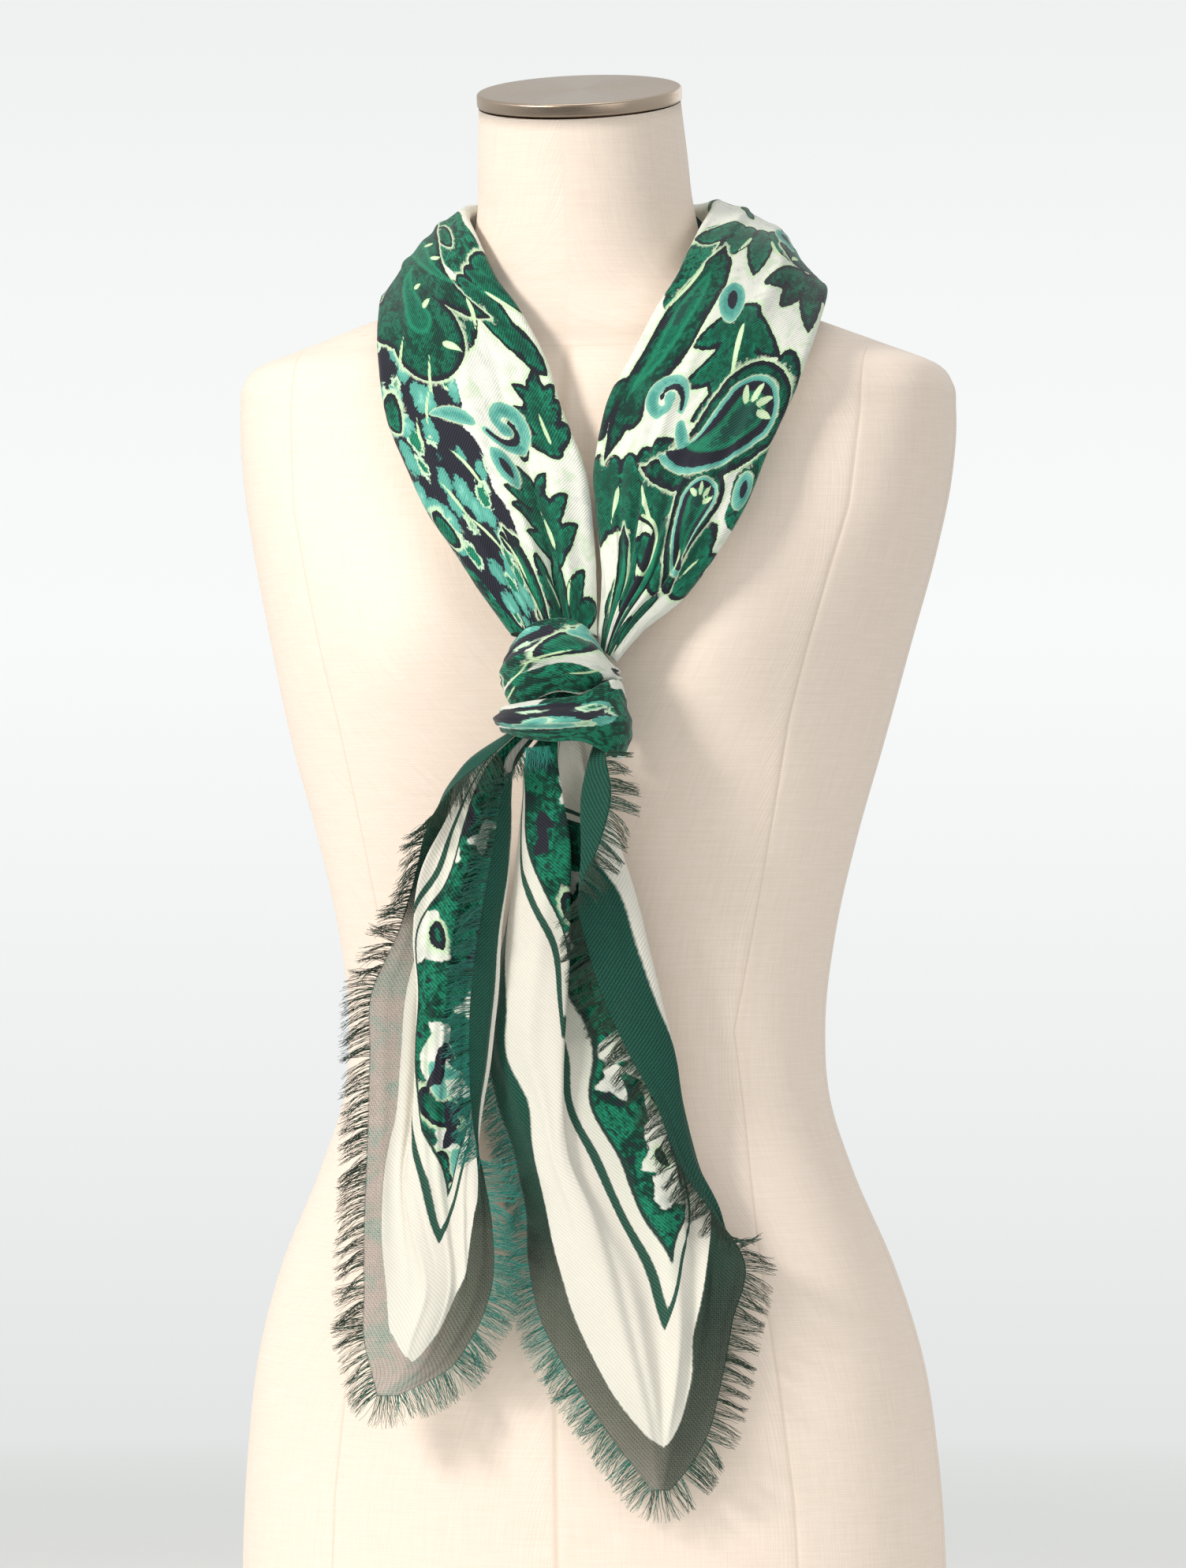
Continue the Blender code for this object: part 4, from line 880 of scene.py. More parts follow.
def roundFolds(values, steps):  # finer columns, with each fold's bend at a guide rounded
    guides = np.arange(values.shape[1])
    fine = cloth["foldSteps"]
    near = np.arange(-fine, guides[-1] * fine + fine + 1) / fine
    curve = curveThrough(guides, values.T, near)
    for past in range(fine):  # carried on past the first and last guide
        curve[past] = 2 * curve[fine] - curve[2 * fine - past]
        curve[-1 - past] = 2 * curve[-1 - fine] - curve[-1 - 2 * fine + past]
    at = np.linspace(0, guides[-1], guides[-1] * steps + 1)
    weight = np.exp(-((at[:, None] - near[None, :]) / cloth["foldRounding"]) ** 2)
    return ((weight / weight.sum(axis=1)[:, None]) @ curve).T


def byHeightUp(table):  # a table that lists its rows from the top down: rising heights, values
    rising = np.array(table, float)[::-1]
    return rising[:, 0], rising[:, 1:]


def tailGrid(rightward, forward, fromFirst, fromLast, creases, steps, seed):
    # points, flat places, mm from the square's edge, and each column's guide and each row's height
    listed, rightward = byHeightUp(rightward)
    share = 1 - (1 - np.linspace(0, 1, cloth["tailRows"])) ** cloth["crowding"]
    heights = listed[-1] + (listed[0] - listed[-1]) * share
    x = curveThrough(listed, rightward, heights)
    plane = np.array(tailPlane, float)
    ahead = curveThrough(*byHeightUp(forward), heights)
    y = curveThrough(plane[:, 0], plane[:, 1], heights)[:, None] - ahead
    x, y = roundFolds(x, steps), roundFolds(y, steps)
    z = np.repeat(heights[:, None], x.shape[1], axis=1)
    grid = np.stack([x, y, z], axis=2)
    guide = np.linspace(0, rightward.shape[1] - 1, x.shape[1])
    step = np.linalg.norm(np.diff(grid, axis=1), axis=2)
    length = np.concatenate((np.zeros((len(grid), 1)), np.cumsum(step, axis=1)), 1)
    flat = np.stack([length - length[:, [x.shape[1] // 2]], z], 2)

    lift = np.zeros_like(x)
    wander, often, shift = cloth["creaseWander"]
    for top, bottom, high, low, tall, half in creases:
        along = np.clip((high - heights) / (high - low), 0, 1)
        middle = top + (bottom - top) * along + wander * np.sin(along * often + top * shift)
        off = (guide[None, :] - middle[:, None]) / half
        lift += (tall * np.sin(pi * along) ** 0.8)[:, None] * np.exp(-off ** 2)
    for more, (tall, size) in enumerate(cloth["ripples"]):
        lift += tall * softNoise(flat, size, seed + more)
    tall, size, reach = cloth["edgeWave"]
    wave = tall * softNoise(np.stack([z, z * 0 + seed], 2), size, seed + 2)
    lift += wave * np.clip(1 - np.minimum(guide, guide[-1] - guide) / reach, 0, 1)[None, :] ** 1.5
    held, over = cloth["fadeAt"]
    grid = grid + gridNormals(grid) * (lift * np.clip((held - z) / over, 0, 1))[..., None]

    inset = np.full_like(x, 1e3)
    for table in (fromFirst, fromLast):
        rows = curveThrough(*byHeightUp(table), heights)
        rows = np.array([np.interp(guide, np.arange(rows.shape[1]), row) for row in rows])
        inset = np.minimum(inset, np.maximum(rows, 0))
    return grid, flat, inset, guide, heights


def knotGrid(stations, creases):  # points and flat places (round, up)
    table = np.array(stations, float)
    numbers = np.arange(len(table))
    share = np.linspace(0, 1, knot["columns"])
    turn = np.linspace(0, pi, knot["hemPoints"])[1:]
    grid = []
    for along in np.linspace(0, 1, knot["rows"]):
        x, y, low, high, swell = curveThrough(numbers, table, [along * numbers[-1]])[0]
        outward = np.array([x, y]) - knot["middle"][:2]
        outward /= np.linalg.norm(outward)
        out = swell * np.sin(pi * share)
        for left, right, tall, half in creases:
            middle = left + (right - left) * along
            out += tall * np.exp(-((share - middle) / half) ** 2) * np.sin(pi * share)
        roll = min(knot["hem"], (high - low) / knot["hemParts"]) / 2
        inward = -roll + roll * np.cos(turn)
        past = roll * np.sin(turn) * knot["hemFlat"]
        z = np.concatenate((low - past[::-1], low + (high - low) * share, high + past))
        out = np.concatenate((inward[::-1], out, inward))
        grid.append(np.stack([x + outward[0] * out, y + outward[1] * out, z], axis=1))
    grid = np.array(grid)
    around = np.linspace(*knot["flatAround"], grid.shape[0])
    up = np.linspace(*knot["flatUp"], grid.shape[1])
    flat = np.stack(np.meshgrid(around, up, indexing="ij"), 2)
    tall, size, seed = knot["soft"]
    lift = tall * softNoise(flat, size, seed)
    return grid + gridNormals(grid) * lift[..., None], flat


# The print: strokes, motifs made of strokes, and where they lie
def strokeDistance(places, points, radii):  # mm to the edge of a stroke, minus inside it
    best = np.full(len(places), 1e3)
    for a, b, ra, rb in zip(points[:-1], points[1:], radii[:-1], radii[1:]):
        ab = b - a
        t = np.clip(((places - a) @ ab) / max(ab @ ab, 1e-9), 0, 1)
        away = np.linalg.norm(places - a - t[:, None] * ab, axis=1)
        best = np.minimum(best, away - (ra + (rb - ra) * t))
    return best


def walk(length, headings):  # points along a line of a length, one heading after another
    step = length / (len(headings) - 1)
    return np.stack([np.concatenate(([0], np.cumsum(part(headings[:-1]) * step)))
                     for part in (np.cos, np.sin)], 1)


def bow(length, bend, fat, blunt=0.6):  # a leaf: pointed at both ends, bent by an angle
    t = np.linspace(0, 1, 9)
    peak = t ** blunt * (1 - t)
    return walk(length, bend * t), fat * peak / peak.max()


def drop(length, bend, fat):  # a paisley: round at its start, with a curled tip
    t = np.linspace(0, 1, 12)
    return walk(length, bend * t ** 1.6), fat * (1 - t) ** 0.85 + 0.25


def curl(size, turns, fat):  # a scroll that winds inward to a ball
    t = np.linspace(0, 1, 20)
    radius, angle = size * (1 - 0.78 * t), turns * 2 * pi * t
    points = np.stack([radius * np.cos(angle) - size, radius * np.sin(angle)], 1)
    return points, fat * (0.35 + 0.65 * np.sin(pi * np.clip(t * 0.9 + 0.12, 0, 1))) + fat * 0.5 * (t > 0.93)


def blot(length, fat):  # a broad patch
    return walk(length, np.zeros(5)), fat * np.array([0.75, 1, 0.9, 1, 0.7])


# Each motif's strokes: ink, stroke, where it starts along and across, turn in degrees
motifs = {
    "paisley": (("deep", drop(46, 1.5, 15), 0, 0, 0), ("aqua", drop(37, 1.45, 10.8), 0, 0, 0),
                ("navy", drop(34, 1.45, 9.2), 0, 0, 0), ("jade", drop(26, 1.4, 6.4), 0, 0, 0),
                *[("pale", bow(6.5, 0.5, 1.2), -3.2 * cos(a), -3.2 * sin(a), np.degrees(a) + 180)
                  for a in (-1.2, -0.5, 0.2, 0.9)]),
    "plume": (("deep", drop(58, 1.3, 18), 0, 0, 0), ("deep", bow(50, -0.4, 10, 0.6), 2, -12, -20),
              ("jade", drop(34, 1.1, 6.5), 6, 1, 8), ("pale", bow(9, 0.7, 1.5), -7, 5, 115),
              ("pale", bow(7, 0.5, 1.2), 9, 6, 60), ("pale", bow(6, 0.5, 1.1), 20, 8, 70)),
    "leaf": (("leaf", bow(40, 0.6, 7.2, 0.6), 0, 0, 0), ("leaf", bow(19, 0.5, 4.2), 4, 0, 48),
             ("leaf", bow(19, 0.5, 4.2), 12, 2, 42), ("leaf", bow(15, 0.5, 3.6), 20, 5, 40),
             ("leaf", bow(18, -0.5, 4.2), 3, 0, -42), ("leaf", bow(18, -0.5, 4.2), 12, 1, -36),
             ("leaf", bow(15, -0.5, 3.6), 21, 4, -28), ("pale", bow(15, 0.3, 0.9, 0.5), 6, 0.3, 2)),
    "scroll": (("leaf", curl(16, 1.1, 5.6), 0, 0, 0), ("leaf", bow(32, -0.8, 5.6, 0.7), 0, -1, -70),
               ("leaf", bow(18, 0.9, 4.2), 4, 2, 20), ("pale", curl(14, 0.5, 0.9), -1.6, 0, 0)),
    "volute": (("aqua", curl(9, 1.15, 2.5), 0, 0, 0), ("navy", curl(9, 0.45, 1.1), -0.2, 0, 0),
               ("aqua", bow(18, 0.9, 2.6), 2, -3, -60)),
    "spray": tuple(("deep", bow(21 + 6 * (k == 2), 0.25 * (k - 2), 5.0, 0.9), 2 * cos(radians(28 * k - 56)),
                    2 * sin(radians(28 * k - 56)), 28 * k - 56) for k in range(5)),
    "acanthus": tuple(("leaf", bow(34 - 4 * abs(k - 2), 0.5 * (k - 2), 6.4, 0.8), 0, (k - 2) * 5.0,
                       24 * (k - 2)) for k in range(5)) + (
        ("pale", bow(15, 0.5, 1.0), 10, 5, 18), ("pale", bow(13, -0.5, 0.9), 9, -5, -18)),
    "hook": (("deep", bow(84, 0.45, 9.5, 0.7), 0, 0, 0), ("deep", curl(11, 0.62, 5.0), 72, 19, 62),
             ("jade", bow(52, 0.3, 4.4, 0.8), 12, 1.6, 3), ("pale", bow(30, 0.3, 0.9), 8, 5.6, 8)),
    "blade": (("navy", bow(60, 0.1, 4.2, 0.9), 0, 0, 0), ("jade", bow(44, 0.1, 3.4, 0.9), 4, 5.5, 2)),
    "tooth": (("leaf", bow(16, 0.7, 4.4, 0.7), 0, 0, 0),),
    "bead": (("aqua", bow(15, 0.3, 4.4, 0.9), 0, 0, 0), ("navy", bow(8, 0.3, 1.7, 0.9), 3, 0.3, 0)),
    "gap": (("gap", bow(20, 0.8, 4.0, 0.8), 0, 0, 0), ("gap", bow(12, -0.6, 2.8, 0.8), 8, 2, -50),
            ("gap", bow(9, 0.6, 2.4, 0.8), 2, -1, 70)),
    "lushPatch": (("lush", blot(70, 24), 0, 0, 0),),
    "mottlePatch": (("mottle", blot(70, 26), 0, 0, 0),),
    "aquaPatch": (("aqua", blot(26, 6), 0, 0, 0), ("aqua", bow(22, 0.8, 5), 4, 3, 40)),
    "navyPatch": (("navy", blot(26, 4.5), 0, 0, 0), ("navy", bow(20, -0.8, 4.5), 16, -1, -12),
                  ("navy", bow(17, 0.9, 4.2), -6, 2, 16)),
    "veins": tuple(("pale", bow(24, 0.5, 0.9, 0.8), 15 * k, 9 * (k % 3) - 9, 12 * (k % 2))
                   for k in range(4)),
}
inkNames = ("lush", "gap", "mottle", "leaf", "deep", "aqua", "navy", "jade", "pale")


def laySpots(spots, flatAt):  # flatAt turns a motif's two places into flat ones
    laid = {name: [] for name in inkNames}
    placed = [(motif, *spot) for motif, listed in spots.items() for spot in listed]
    for motif, first, second, turn, size in placed:
        side = np.sign(size)
        size = abs(size) * gauze["motifScale"]
        start, turn = np.array(flatAt(first, second)), radians(turn)
        for ink, (points, radii), x, y, extra in motifs[motif]:
            here = turn + radians(extra) * side
            base = start + size * np.array([x * cos(turn) - y * side * sin(turn),
                                            x * sin(turn) + y * side * cos(turn)])
            spin = np.array([[cos(here), sin(here)], [-sin(here), cos(here)]])
            laid[ink].append((base + (points * (size, size * side)) @ spin, radii * size))
    return laid


farInk = 9.0        # mm, past an ink's ragged edge
wholeGround = -6.0  # mm, well inside: the lush wash covers all the ground
washUnder = 0.8     # mm in from a motif's edge, where the lush wash that lies under it ends
givesWay = 3        # how much faster than its own edge the leaf ink ends at a deep motif


def inkDepths(flat, laid, ground=farInk):  # an attribute for each ink: mm to the edge of its shapes
    places = flat.reshape(-1, 2)
    depths = {}
    for ink, strokes in laid.items():
        depth = np.full(len(places), farInk)
        for points, radii in strokes:
            far = radii.max() + farInk
            near = np.all((places > points.min(0) - far) & (places < points.max(0) + far), axis=1)
            if near.any():
                depth[near] = np.minimum(depth[near], strokeDistance(places[near], points, radii))
        depths[ink] = depth
    depths["lush"] = np.maximum(np.minimum(depths["lush"], ground), -depths.pop("gap"))
    depths["leaf"] = np.maximum(depths["leaf"], -givesWay * depths["deep"])  # one ink prints a place
    body = np.minimum(depths["leaf"], depths["deep"])
    depths["lush"] = np.minimum(depths["lush"], body + washUnder)
    depths["mottle"] = np.maximum(depths["mottle"], -body)
    return depths


# Where each motif lies: two places, turn in degrees, size, minus where it is mirrored. On the loop
# the places are section and mm across from the inner edge. Sections to 9 go up the left, to 16
# behind the neck and on down the right.
loopSpots = {
    "mottlePatch": ((-0.8, 86, 4, 1.0), (1.6, 93, 4, 1.1), (4.4, 98, 3, 1.15), (14.0, 104, 0, 1.0)),
    "veins": ((1.2, 78, 6, 1.1), (4.0, 94, 2, -1.0)),
    "tooth": ((2.2, 119, 12, -1.3), (5.4, 116, 160, 1.4), (1.9, 50, -160, 1.3), (4.7, 32, 190, -1.4),
        (6.7, 8, 185, 1.7), (9.6, 22, 170, 1.6), (14.2, 66, 60, 1.9), (19.2, 112, 10, 2.1),
        (21.5, 46, 40, 2.2), (22.7, 114, 0, 2.2), (24.3, 106, 0, 2.0), (25.0, 94, -5, 1.9)),
    "hook": ((-0.8, 62, -3, 0.62), (17.6, 22, 3, -1.55), (23.2, 24, 2, 1.0)),
    "acanthus": ((-0.2, 24, 4, 1.2), (8.2, 26, 196, 1.6), (12.5, 88, 20, 1.7), (16.9, 46, 10, 1.4),
        (21.7, 20, 14, 1.75), (24.2, 112, 186, 1.0)),
    "leaf": ((1.7, 20, 8, 1.5), (3.9, 8, 10, -1.2), (11.7, 26, 6, -1.7), (15.2, 50, 160, -1.8),
        (10.2, 64, 0, 1.3), (18.7, 66, 6, 1.9), (24.4, 14, 4, -1.1)),
    "volute": ((4.4, 54, 110, 1.6), (12.0, 72, 60, 1.7), (20.9, 52, 80, 1.4)),
    "bead": ((3.2, 46, 16, 1.5), (16.6, 60, 30, 1.8), (18.4, 44, 20, 1.8), (21.6, 118, 10, 1.2)),
    "plume": ((6.7, 78, 16, -1.4), (9.7, 58, 178, 1.5), (13.6, 34, -10, 1.6), (17.0, 92, 200, 1.3)),
    "lushPatch": ((7.2, 112, 4, 0.8), (-0.8, 122, 4, 0.7), (8.3, 12, 6, 0.75), (17.4, 10, 0, 0.7),
        (20.6, 128, 0, 0.6)),
    "navyPatch": ((18.6, 14, 4, 0.8),),
    "paisley": ((10.6, 34, 30, 1.6), (15.9, 98, 10, -1.35), (20.6, 100, -28, -1.6), (22.4, 90, 2, 1.1)),
    "spray": ((10.1, 96, -30, 1.6), (17.6, 100, 20, 1.7)),
    "scroll": ((11.7, 104, 160, 1.5), (15.9, 22, -20, 1.4), (22.9, 44, 200, -1.5)),
    "blade": ((23.0, 60, 2, 1.5), (23.8, 80, -2, -1.2)),
}

# On the knot's upper and lower turn: mm round, mm up
wrapSpots = {
    "lushPatch": ((6, 64, 2, 0.5), (50, 66, -4, 0.6), (34, 8, 8, 0.42), (24, 26, 10, 0.28),
        (84, 10, -6, 0.42)),
    "mottlePatch": ((14, 45, 4, 0.4),),
    "tooth": ((70, 48, -150, 1.5), (92, 50, 190, -1.7), (12, 12, 64, -1.3)),
    "navyPatch": ((84, 30, -10, 0.5),),
    "aquaPatch": ((62, 50, 6, 0.5),),
    "veins": ((20, 14, 12, 0.7),),
}
bandSpots = {
    "mottlePatch": ((6, 34, 0, 0.66),),
    "lushPatch": ((58, 26, 0, 0.9), (60, 54, 0, 0.7), (30, 0, 2, 0.5)),
    "gap": ((76, 56, 8, 0.8),),
    "navyPatch": ((92, 12, 6, 0.5), (6, 3, 2, 0.6)),
    "aquaPatch": ((40, 20, 4, 0.5), (-2, 14, 2, 0.5)),
}

# On the tails: guide, height
leftSpots = {
    "gap": ((3.5, 466, -70, 1.0), (4.2, 424, -95, -1.5), (6.0, 470, -100, 0.8), (4.0, 352, -60, 1.5),
        (5.6, 366, -110, -1.0), (5.2, 314, -70, 0.8), (6.8, 382, -100, 0.7)),
    "tooth": ((4.4, 417, -80, 0.8), (4.1, 332, -60, 1.4), (5.4, 300, -100, 1.1)),
    "navyPatch": ((5.3, 352, -95, 0.5), (5.9, 322, -80, 0.5), (3.6, 484, -60, 0.6), (7.2, 420, -90, 0.7)),
    "aquaPatch": ((4.7, 344, -70, 0.5), (6.4, 300, -90, 0.4)),
    "bead": ((6.2, 284, -90, 0.9),),
}
rightSpots = {
    "gap": ((2.3, 492, -80, 0.8), (2.5, 442, -20, 0.7), (2.3, 414, -70, -0.8), (4.7, 384, -90, 2.2),
        (5.1, 350, -80, -1.7), (4.6, 316, -75, 1.4), (4.9, 296, -100, -1.1), (4.5, 288, -60, 0.9),
        (4.1, 346, -95, 0.9)),
    "navyPatch": ((1.4, 470, -95, 0.5), (2.9, 452, -90, 0.45), (5.2, 372, -80, 0.5),
        (5.3, 326, -70, 0.45), (5.1, 308, -75, 0.25)),
    "tooth": ((2.0, 432, -90, 1.0), (4.9, 336, -60, 1.5), (4.7, 302, -90, 0.5)),
    "aquaPatch": ((5.0, 352, -95, 0.6),),
}


def addCloth(name, grid, flat, depths, replaced, inset=None, layers=None):
    plain = np.ones(flat.shape[:2])  # away from the square's edge, and not see-through
    inset = plain * farInside if inset is None else inset
    layers = plain if layers is None else layers
    flatPlace = np.concatenate((flat, 0 * plain[..., None]), 2).reshape(-1, 3)
    made = addPiece(name, grid @ turned.T, gridFaces(*grid.shape[:2]), gauzeCloth,
                    {"flat": flatPlace, "inset": inset.ravel(), "layers": layers.ravel(), **depths})
    wall = made.modifiers.new("wall", "SOLIDIFY")
    wall.thickness, wall.offset = cloth["thickness"] * mm, 0
    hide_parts(*replaced)
    return made


def buildLoop():
    grid, flat, places = loopGrid()
    soft = sum(tall * softNoise(flat, size, seed) for tall, size, seed in cloth["loopSoft"])
    fade = np.clip(np.minimum(places, places[::-1]) / cloth["loopHeld"], 0, 1)[:, None]
    grid = grid + gridNormals(grid) * (soft * fade)[..., None]
    laid = laySpots(loopSpots, lambda section, across: (np.interp(section, places, flat[:, 0, 0]), across))
    return addCloth("scarfLoop", grid, flat, inkDepths(flat, laid),
                    ("loop_left", "loop_back", "loop_right"))


def buildTurn(name, stations, creases, spots, node):
    grid, flat = knotGrid(stations, creases)
    laid = laySpots(spots, lambda around, up: (around, up))
    return addCloth(name, grid, flat, inkDepths(flat, laid), (node,))


def buildTail(name, tables, creases, steps, spots, cover, seed, node):
    grid, flat, inset, guide, heights = tailGrid(*tables, creases, steps, seed)
    listed, ends = byHeightUp(cover)
    atFirst, atLast = [np.interp(heights, listed, end)[:, None] for end in ends.T]
    turnsFrom, turnsOver = cloth["coverTurns"]
    share = np.clip((guide / guide[-1] - turnsFrom) / turnsOver, 0, 1)
    layers = atFirst * (1 - share) + atLast * share

    def flatAt(column, height):
        row = np.argmin(np.abs(heights - height))
        return np.interp(column, guide, flat[row, :, 0]), height

    depths = inkDepths(flat, laySpots(spots, flatAt), wholeGround)
    return addCloth(name, grid, flat, depths, (node,), inset, layers), grid


loop = buildLoop()
knotWrapCloth = buildTurn("knotWrap", knotWrap, knot["wrapCreases"], wrapSpots, "knot_wrap")
knotBandCloth = buildTurn("knotBand", knotBand, knot["bandCreases"], bandSpots, "knot_band")
leftTail, leftGrid = buildTail(
    "tailLeft", (leftRightward, leftForward, leftFromOuter, leftFromInner), leftCreases,
    cloth["leftSteps"], leftSpots, leftCover, 7, "tail_left")
rightTail, rightGrid = buildTail(
    "tailRight", (rightRightward, rightForward, rightFromInner, rightFromOuter), rightCreases,
    cloth["rightSteps"], rightSpots, rightCover, 11, "tail_right")
print("cloth laid")


def buildCore():  # the layers hidden inside the knot
    rows, columns = knot["corePoints"]
    polar, around = np.linspace(0.02, pi - 0.02, rows), np.arange(columns) * 2 * pi / columns
    swell, layers = knot["coreLayers"]
    out = np.sin(polar) * (1 + swell * np.cos(layers * np.cos(polar)))
    width, depth, height = knot["coreSize"]
    grid = np.stack([np.outer(out, np.cos(around)) * width, np.outer(out, np.sin(around)) * depth,
                     np.outer(np.cos(polar), np.ones(columns)) * height], 2) + knot["middle"]
    flat = np.stack([around * height + np.zeros((rows, 1)), grid[..., 2], np.zeros((rows, columns))], 2)
    faces = gridFaces(rows, columns, closed=True)
    faces += [list(range(columns)), list(range(rows * columns - columns, rows * columns))[::-1]]
    plain = np.ones(rows * columns)
    made = addPiece("knotCore", grid @ turned.T, faces, gauzeCloth,
                    {"flat": flat.reshape(-1, 3), "inset": plain * farInside, "layers": plain,
                     **inkDepths(flat[..., :2], laySpots({}, None), wholeGround)})
    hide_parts("knot_core")


buildCore()


# The fringe: the square's own threads, left loose along its raw edges
fringe = {
    "length": 20, "lengthSpread": 0.25,      # mm, share that the shortest lack
    "perMm": 3.5, "rings": 8, "radius": 0.18, "tipRadius": 0.10,
    "crimp": 0.42, "crimpTurns": (0.8, 1.9), "crimpForward": 0.6, "strayForward": 0.5,
    "rootDepth": 0.6,                        # mm that a thread starts in from the edge
    "sway": 0.16, "together": 1.6,           # how far locks differ, how far a lock's threads close in
    "lockWander": ((0.4, 11.3), (0.2, 4.1)),  # how unevenly the locks follow each other, over mm
    "hangSpread": (0.7, 1.3), "tealSpread": 0.16,
    # short ends that hang free below the knot
    "short": {"from": (-34, -164, 506), "to": (-22, -166, 507), "count": 70, "length": 15,
              "lengths": (0.6, 1), "loose": 0.16, "teal": 0.8, "tealSpread": 0.15,
              "heading": (0, -0.25, -1.0), "headingSpread": 0.12,
              "pull": (0, 0.12, -0.3), "pullSpread": 0.2},
}
# Each stretch of edge: how far its threads hang from square to it, how far they pull together in
# locks, mm from lock to lock, then by height from the lowest up how far they lean forward and
# how teal they are
fringeRuns = {
    "leftOuter": {"hang": 0.75, "gather": 0.75, "lock": 4.6, "loose": 0.16,
                  "lean": ((176, 0.1), (500, 0.1)), "teal": ((176, 0.45), (215, 0.05), (500, 0.1))},
    "leftInner": {"hang": 0.45, "gather": 0.40, "lock": 6.5, "loose": 0.22,
                  "lean": ((176, 0.2), (300, 0.75), (330, 0.4), (500, 0.3)),
                  "teal": ((176, 0.55), (300, 0.95), (420, 0.6), (500, 0.4))},
    "rightInner": {"hang": 0.40, "gather": 0.40, "lock": 6.5, "loose": 0.22,
                   "lean": ((128, 0), (230, -0.3), (400, -0.5)),
                   "teal": ((128, 0.5), (250, 0.9), (400, 0.9))},
    "rightOuter": {"hang": 0.42, "gather": 0.95, "lock": 8.5, "loose": 0.10,
                   "lean": ((128, 0.1), (500, 0.25)), "teal": ((128, 0.35), (180, 0.05), (500, 0.15))},
    # the threads at each tail's corner fan out, so they don't gather but part
    "corner": {"hang": 0.25, "gather": -0.9, "lock": 24, "loose": 0.2,
               "lean": ((128, 0.1), (176, 0.1)), "teal": ((128, 0.35), (176, 0.45))},
}


def byHeight(points, pairs):
    heights, values = zip(*pairs)
    return np.interp(points[:, 2], heights, values)


def unit(vectors):
    return vectors / np.linalg.norm(vectors, axis=-1)[..., None]


def threadPaths(root, outward, facing, pull, loose, chance):
    # loose threads from points on an edge, each of its own length, curving by pull and crimped
    count, rings = len(root), fringe["rings"]
    t = np.linspace(0, 1, rings)[None, :, None]
    stray = chance.normal(0, loose, (count, 1, 3)) * (1, fringe["strayForward"], 1)
    heading = unit(outward[:, None] + stray * t ** 0.7 + pull[:, None] * np.sqrt(t))
    reach = fringe["length"] * (1 - fringe["lengthSpread"] * chance.random(count) ** 2)[:, None, None]
    path = root[:, None] + (np.cumsum(heading, axis=1) - heading[:, :1]) * reach / rings
    phase = chance.uniform(0, 2 * pi, (count, 1, 2))
    turns = chance.uniform(*fringe["crimpTurns"], (count, 1, 1))
    wave = np.sin(phase + turns * 2 * pi * t) - np.sin(phase)
    side = np.cross(outward, facing)[:, None]
    crimp = wave[..., :1] * side + fringe["crimpForward"] * wave[..., 1:] * facing[:, None]
    return path + fringe["crimp"] * t ** 0.5 * crimp


def edgeThreads(edge, beside, run, seed):
    chance = np.random.default_rng(seed)
    along = unit(np.gradient(edge, axis=0))
    facing = unit(np.cross(along, edge - beside))
    outward = np.cross(facing, along)
    length = pathLength(edge)
    count = int(length[-1] * fringe["perMm"])
    place = np.sort(chance.uniform(0, length[-1], count))
    lock = place / run["lock"] + sum(share * np.sin(place / size) for share, size in fringe["lockWander"])
    number = np.floor(lock).astype(int) - int(np.floor(lock.min()))
    within = (lock - np.floor(lock) - 0.5) * run["lock"]
    root, out, face, line = [np.stack([np.interp(place, length, part) for part in values.T], 1)
                             for values in (edge, outward, facing, along)]
    out, face = unit(out), unit(face)
    locks = number.max() + 1
    sway = chance.normal(0, fringe["sway"], (locks, 3)) * (1, 0.35, 1)
    hang = run["hang"] * chance.uniform(*fringe["hangSpread"], locks)
    pull = sway[number] - line * (within * run["gather"] * fringe["together"] / fringe["length"])[:, None]
    pull = pull - np.stack([np.zeros(count), byHeight(root, run["lean"]), hang[number]], 1)
    teal = np.clip(byHeight(root, run["teal"]) + chance.normal(0, fringe["tealSpread"], count), 0, 1)
    return threadPaths(root - out * fringe["rootDepth"], out, face, pull, run["loose"], chance), face, teal


def shortThreads(seed):
    chance, short = np.random.default_rng(seed), fringe["short"]
    count = short["count"]
    share = chance.random((count, 1))
    root = np.array(short["from"]) * (1 - share) + np.array(short["to"]) * share
    out = unit(np.array(short["heading"]) + chance.normal(0, short["headingSpread"], (count, 3)))
    face = np.tile([0.0, -1.0, 0.0], (count, 1))
    pull = chance.normal(0, short["pullSpread"], (count, 3)) * (1, 0.4, 1) + short["pull"]
    paths = threadPaths(root, out, face, pull, short["loose"], chance)
    scale = (short["length"] / fringe["length"] * chance.uniform(*short["lengths"], count))[:, None, None]
    teal = np.clip(chance.normal(short["teal"], short["tealSpread"], count), 0, 1)
    return root[:, None] + (paths - root[:, None]) * scale, face, teal


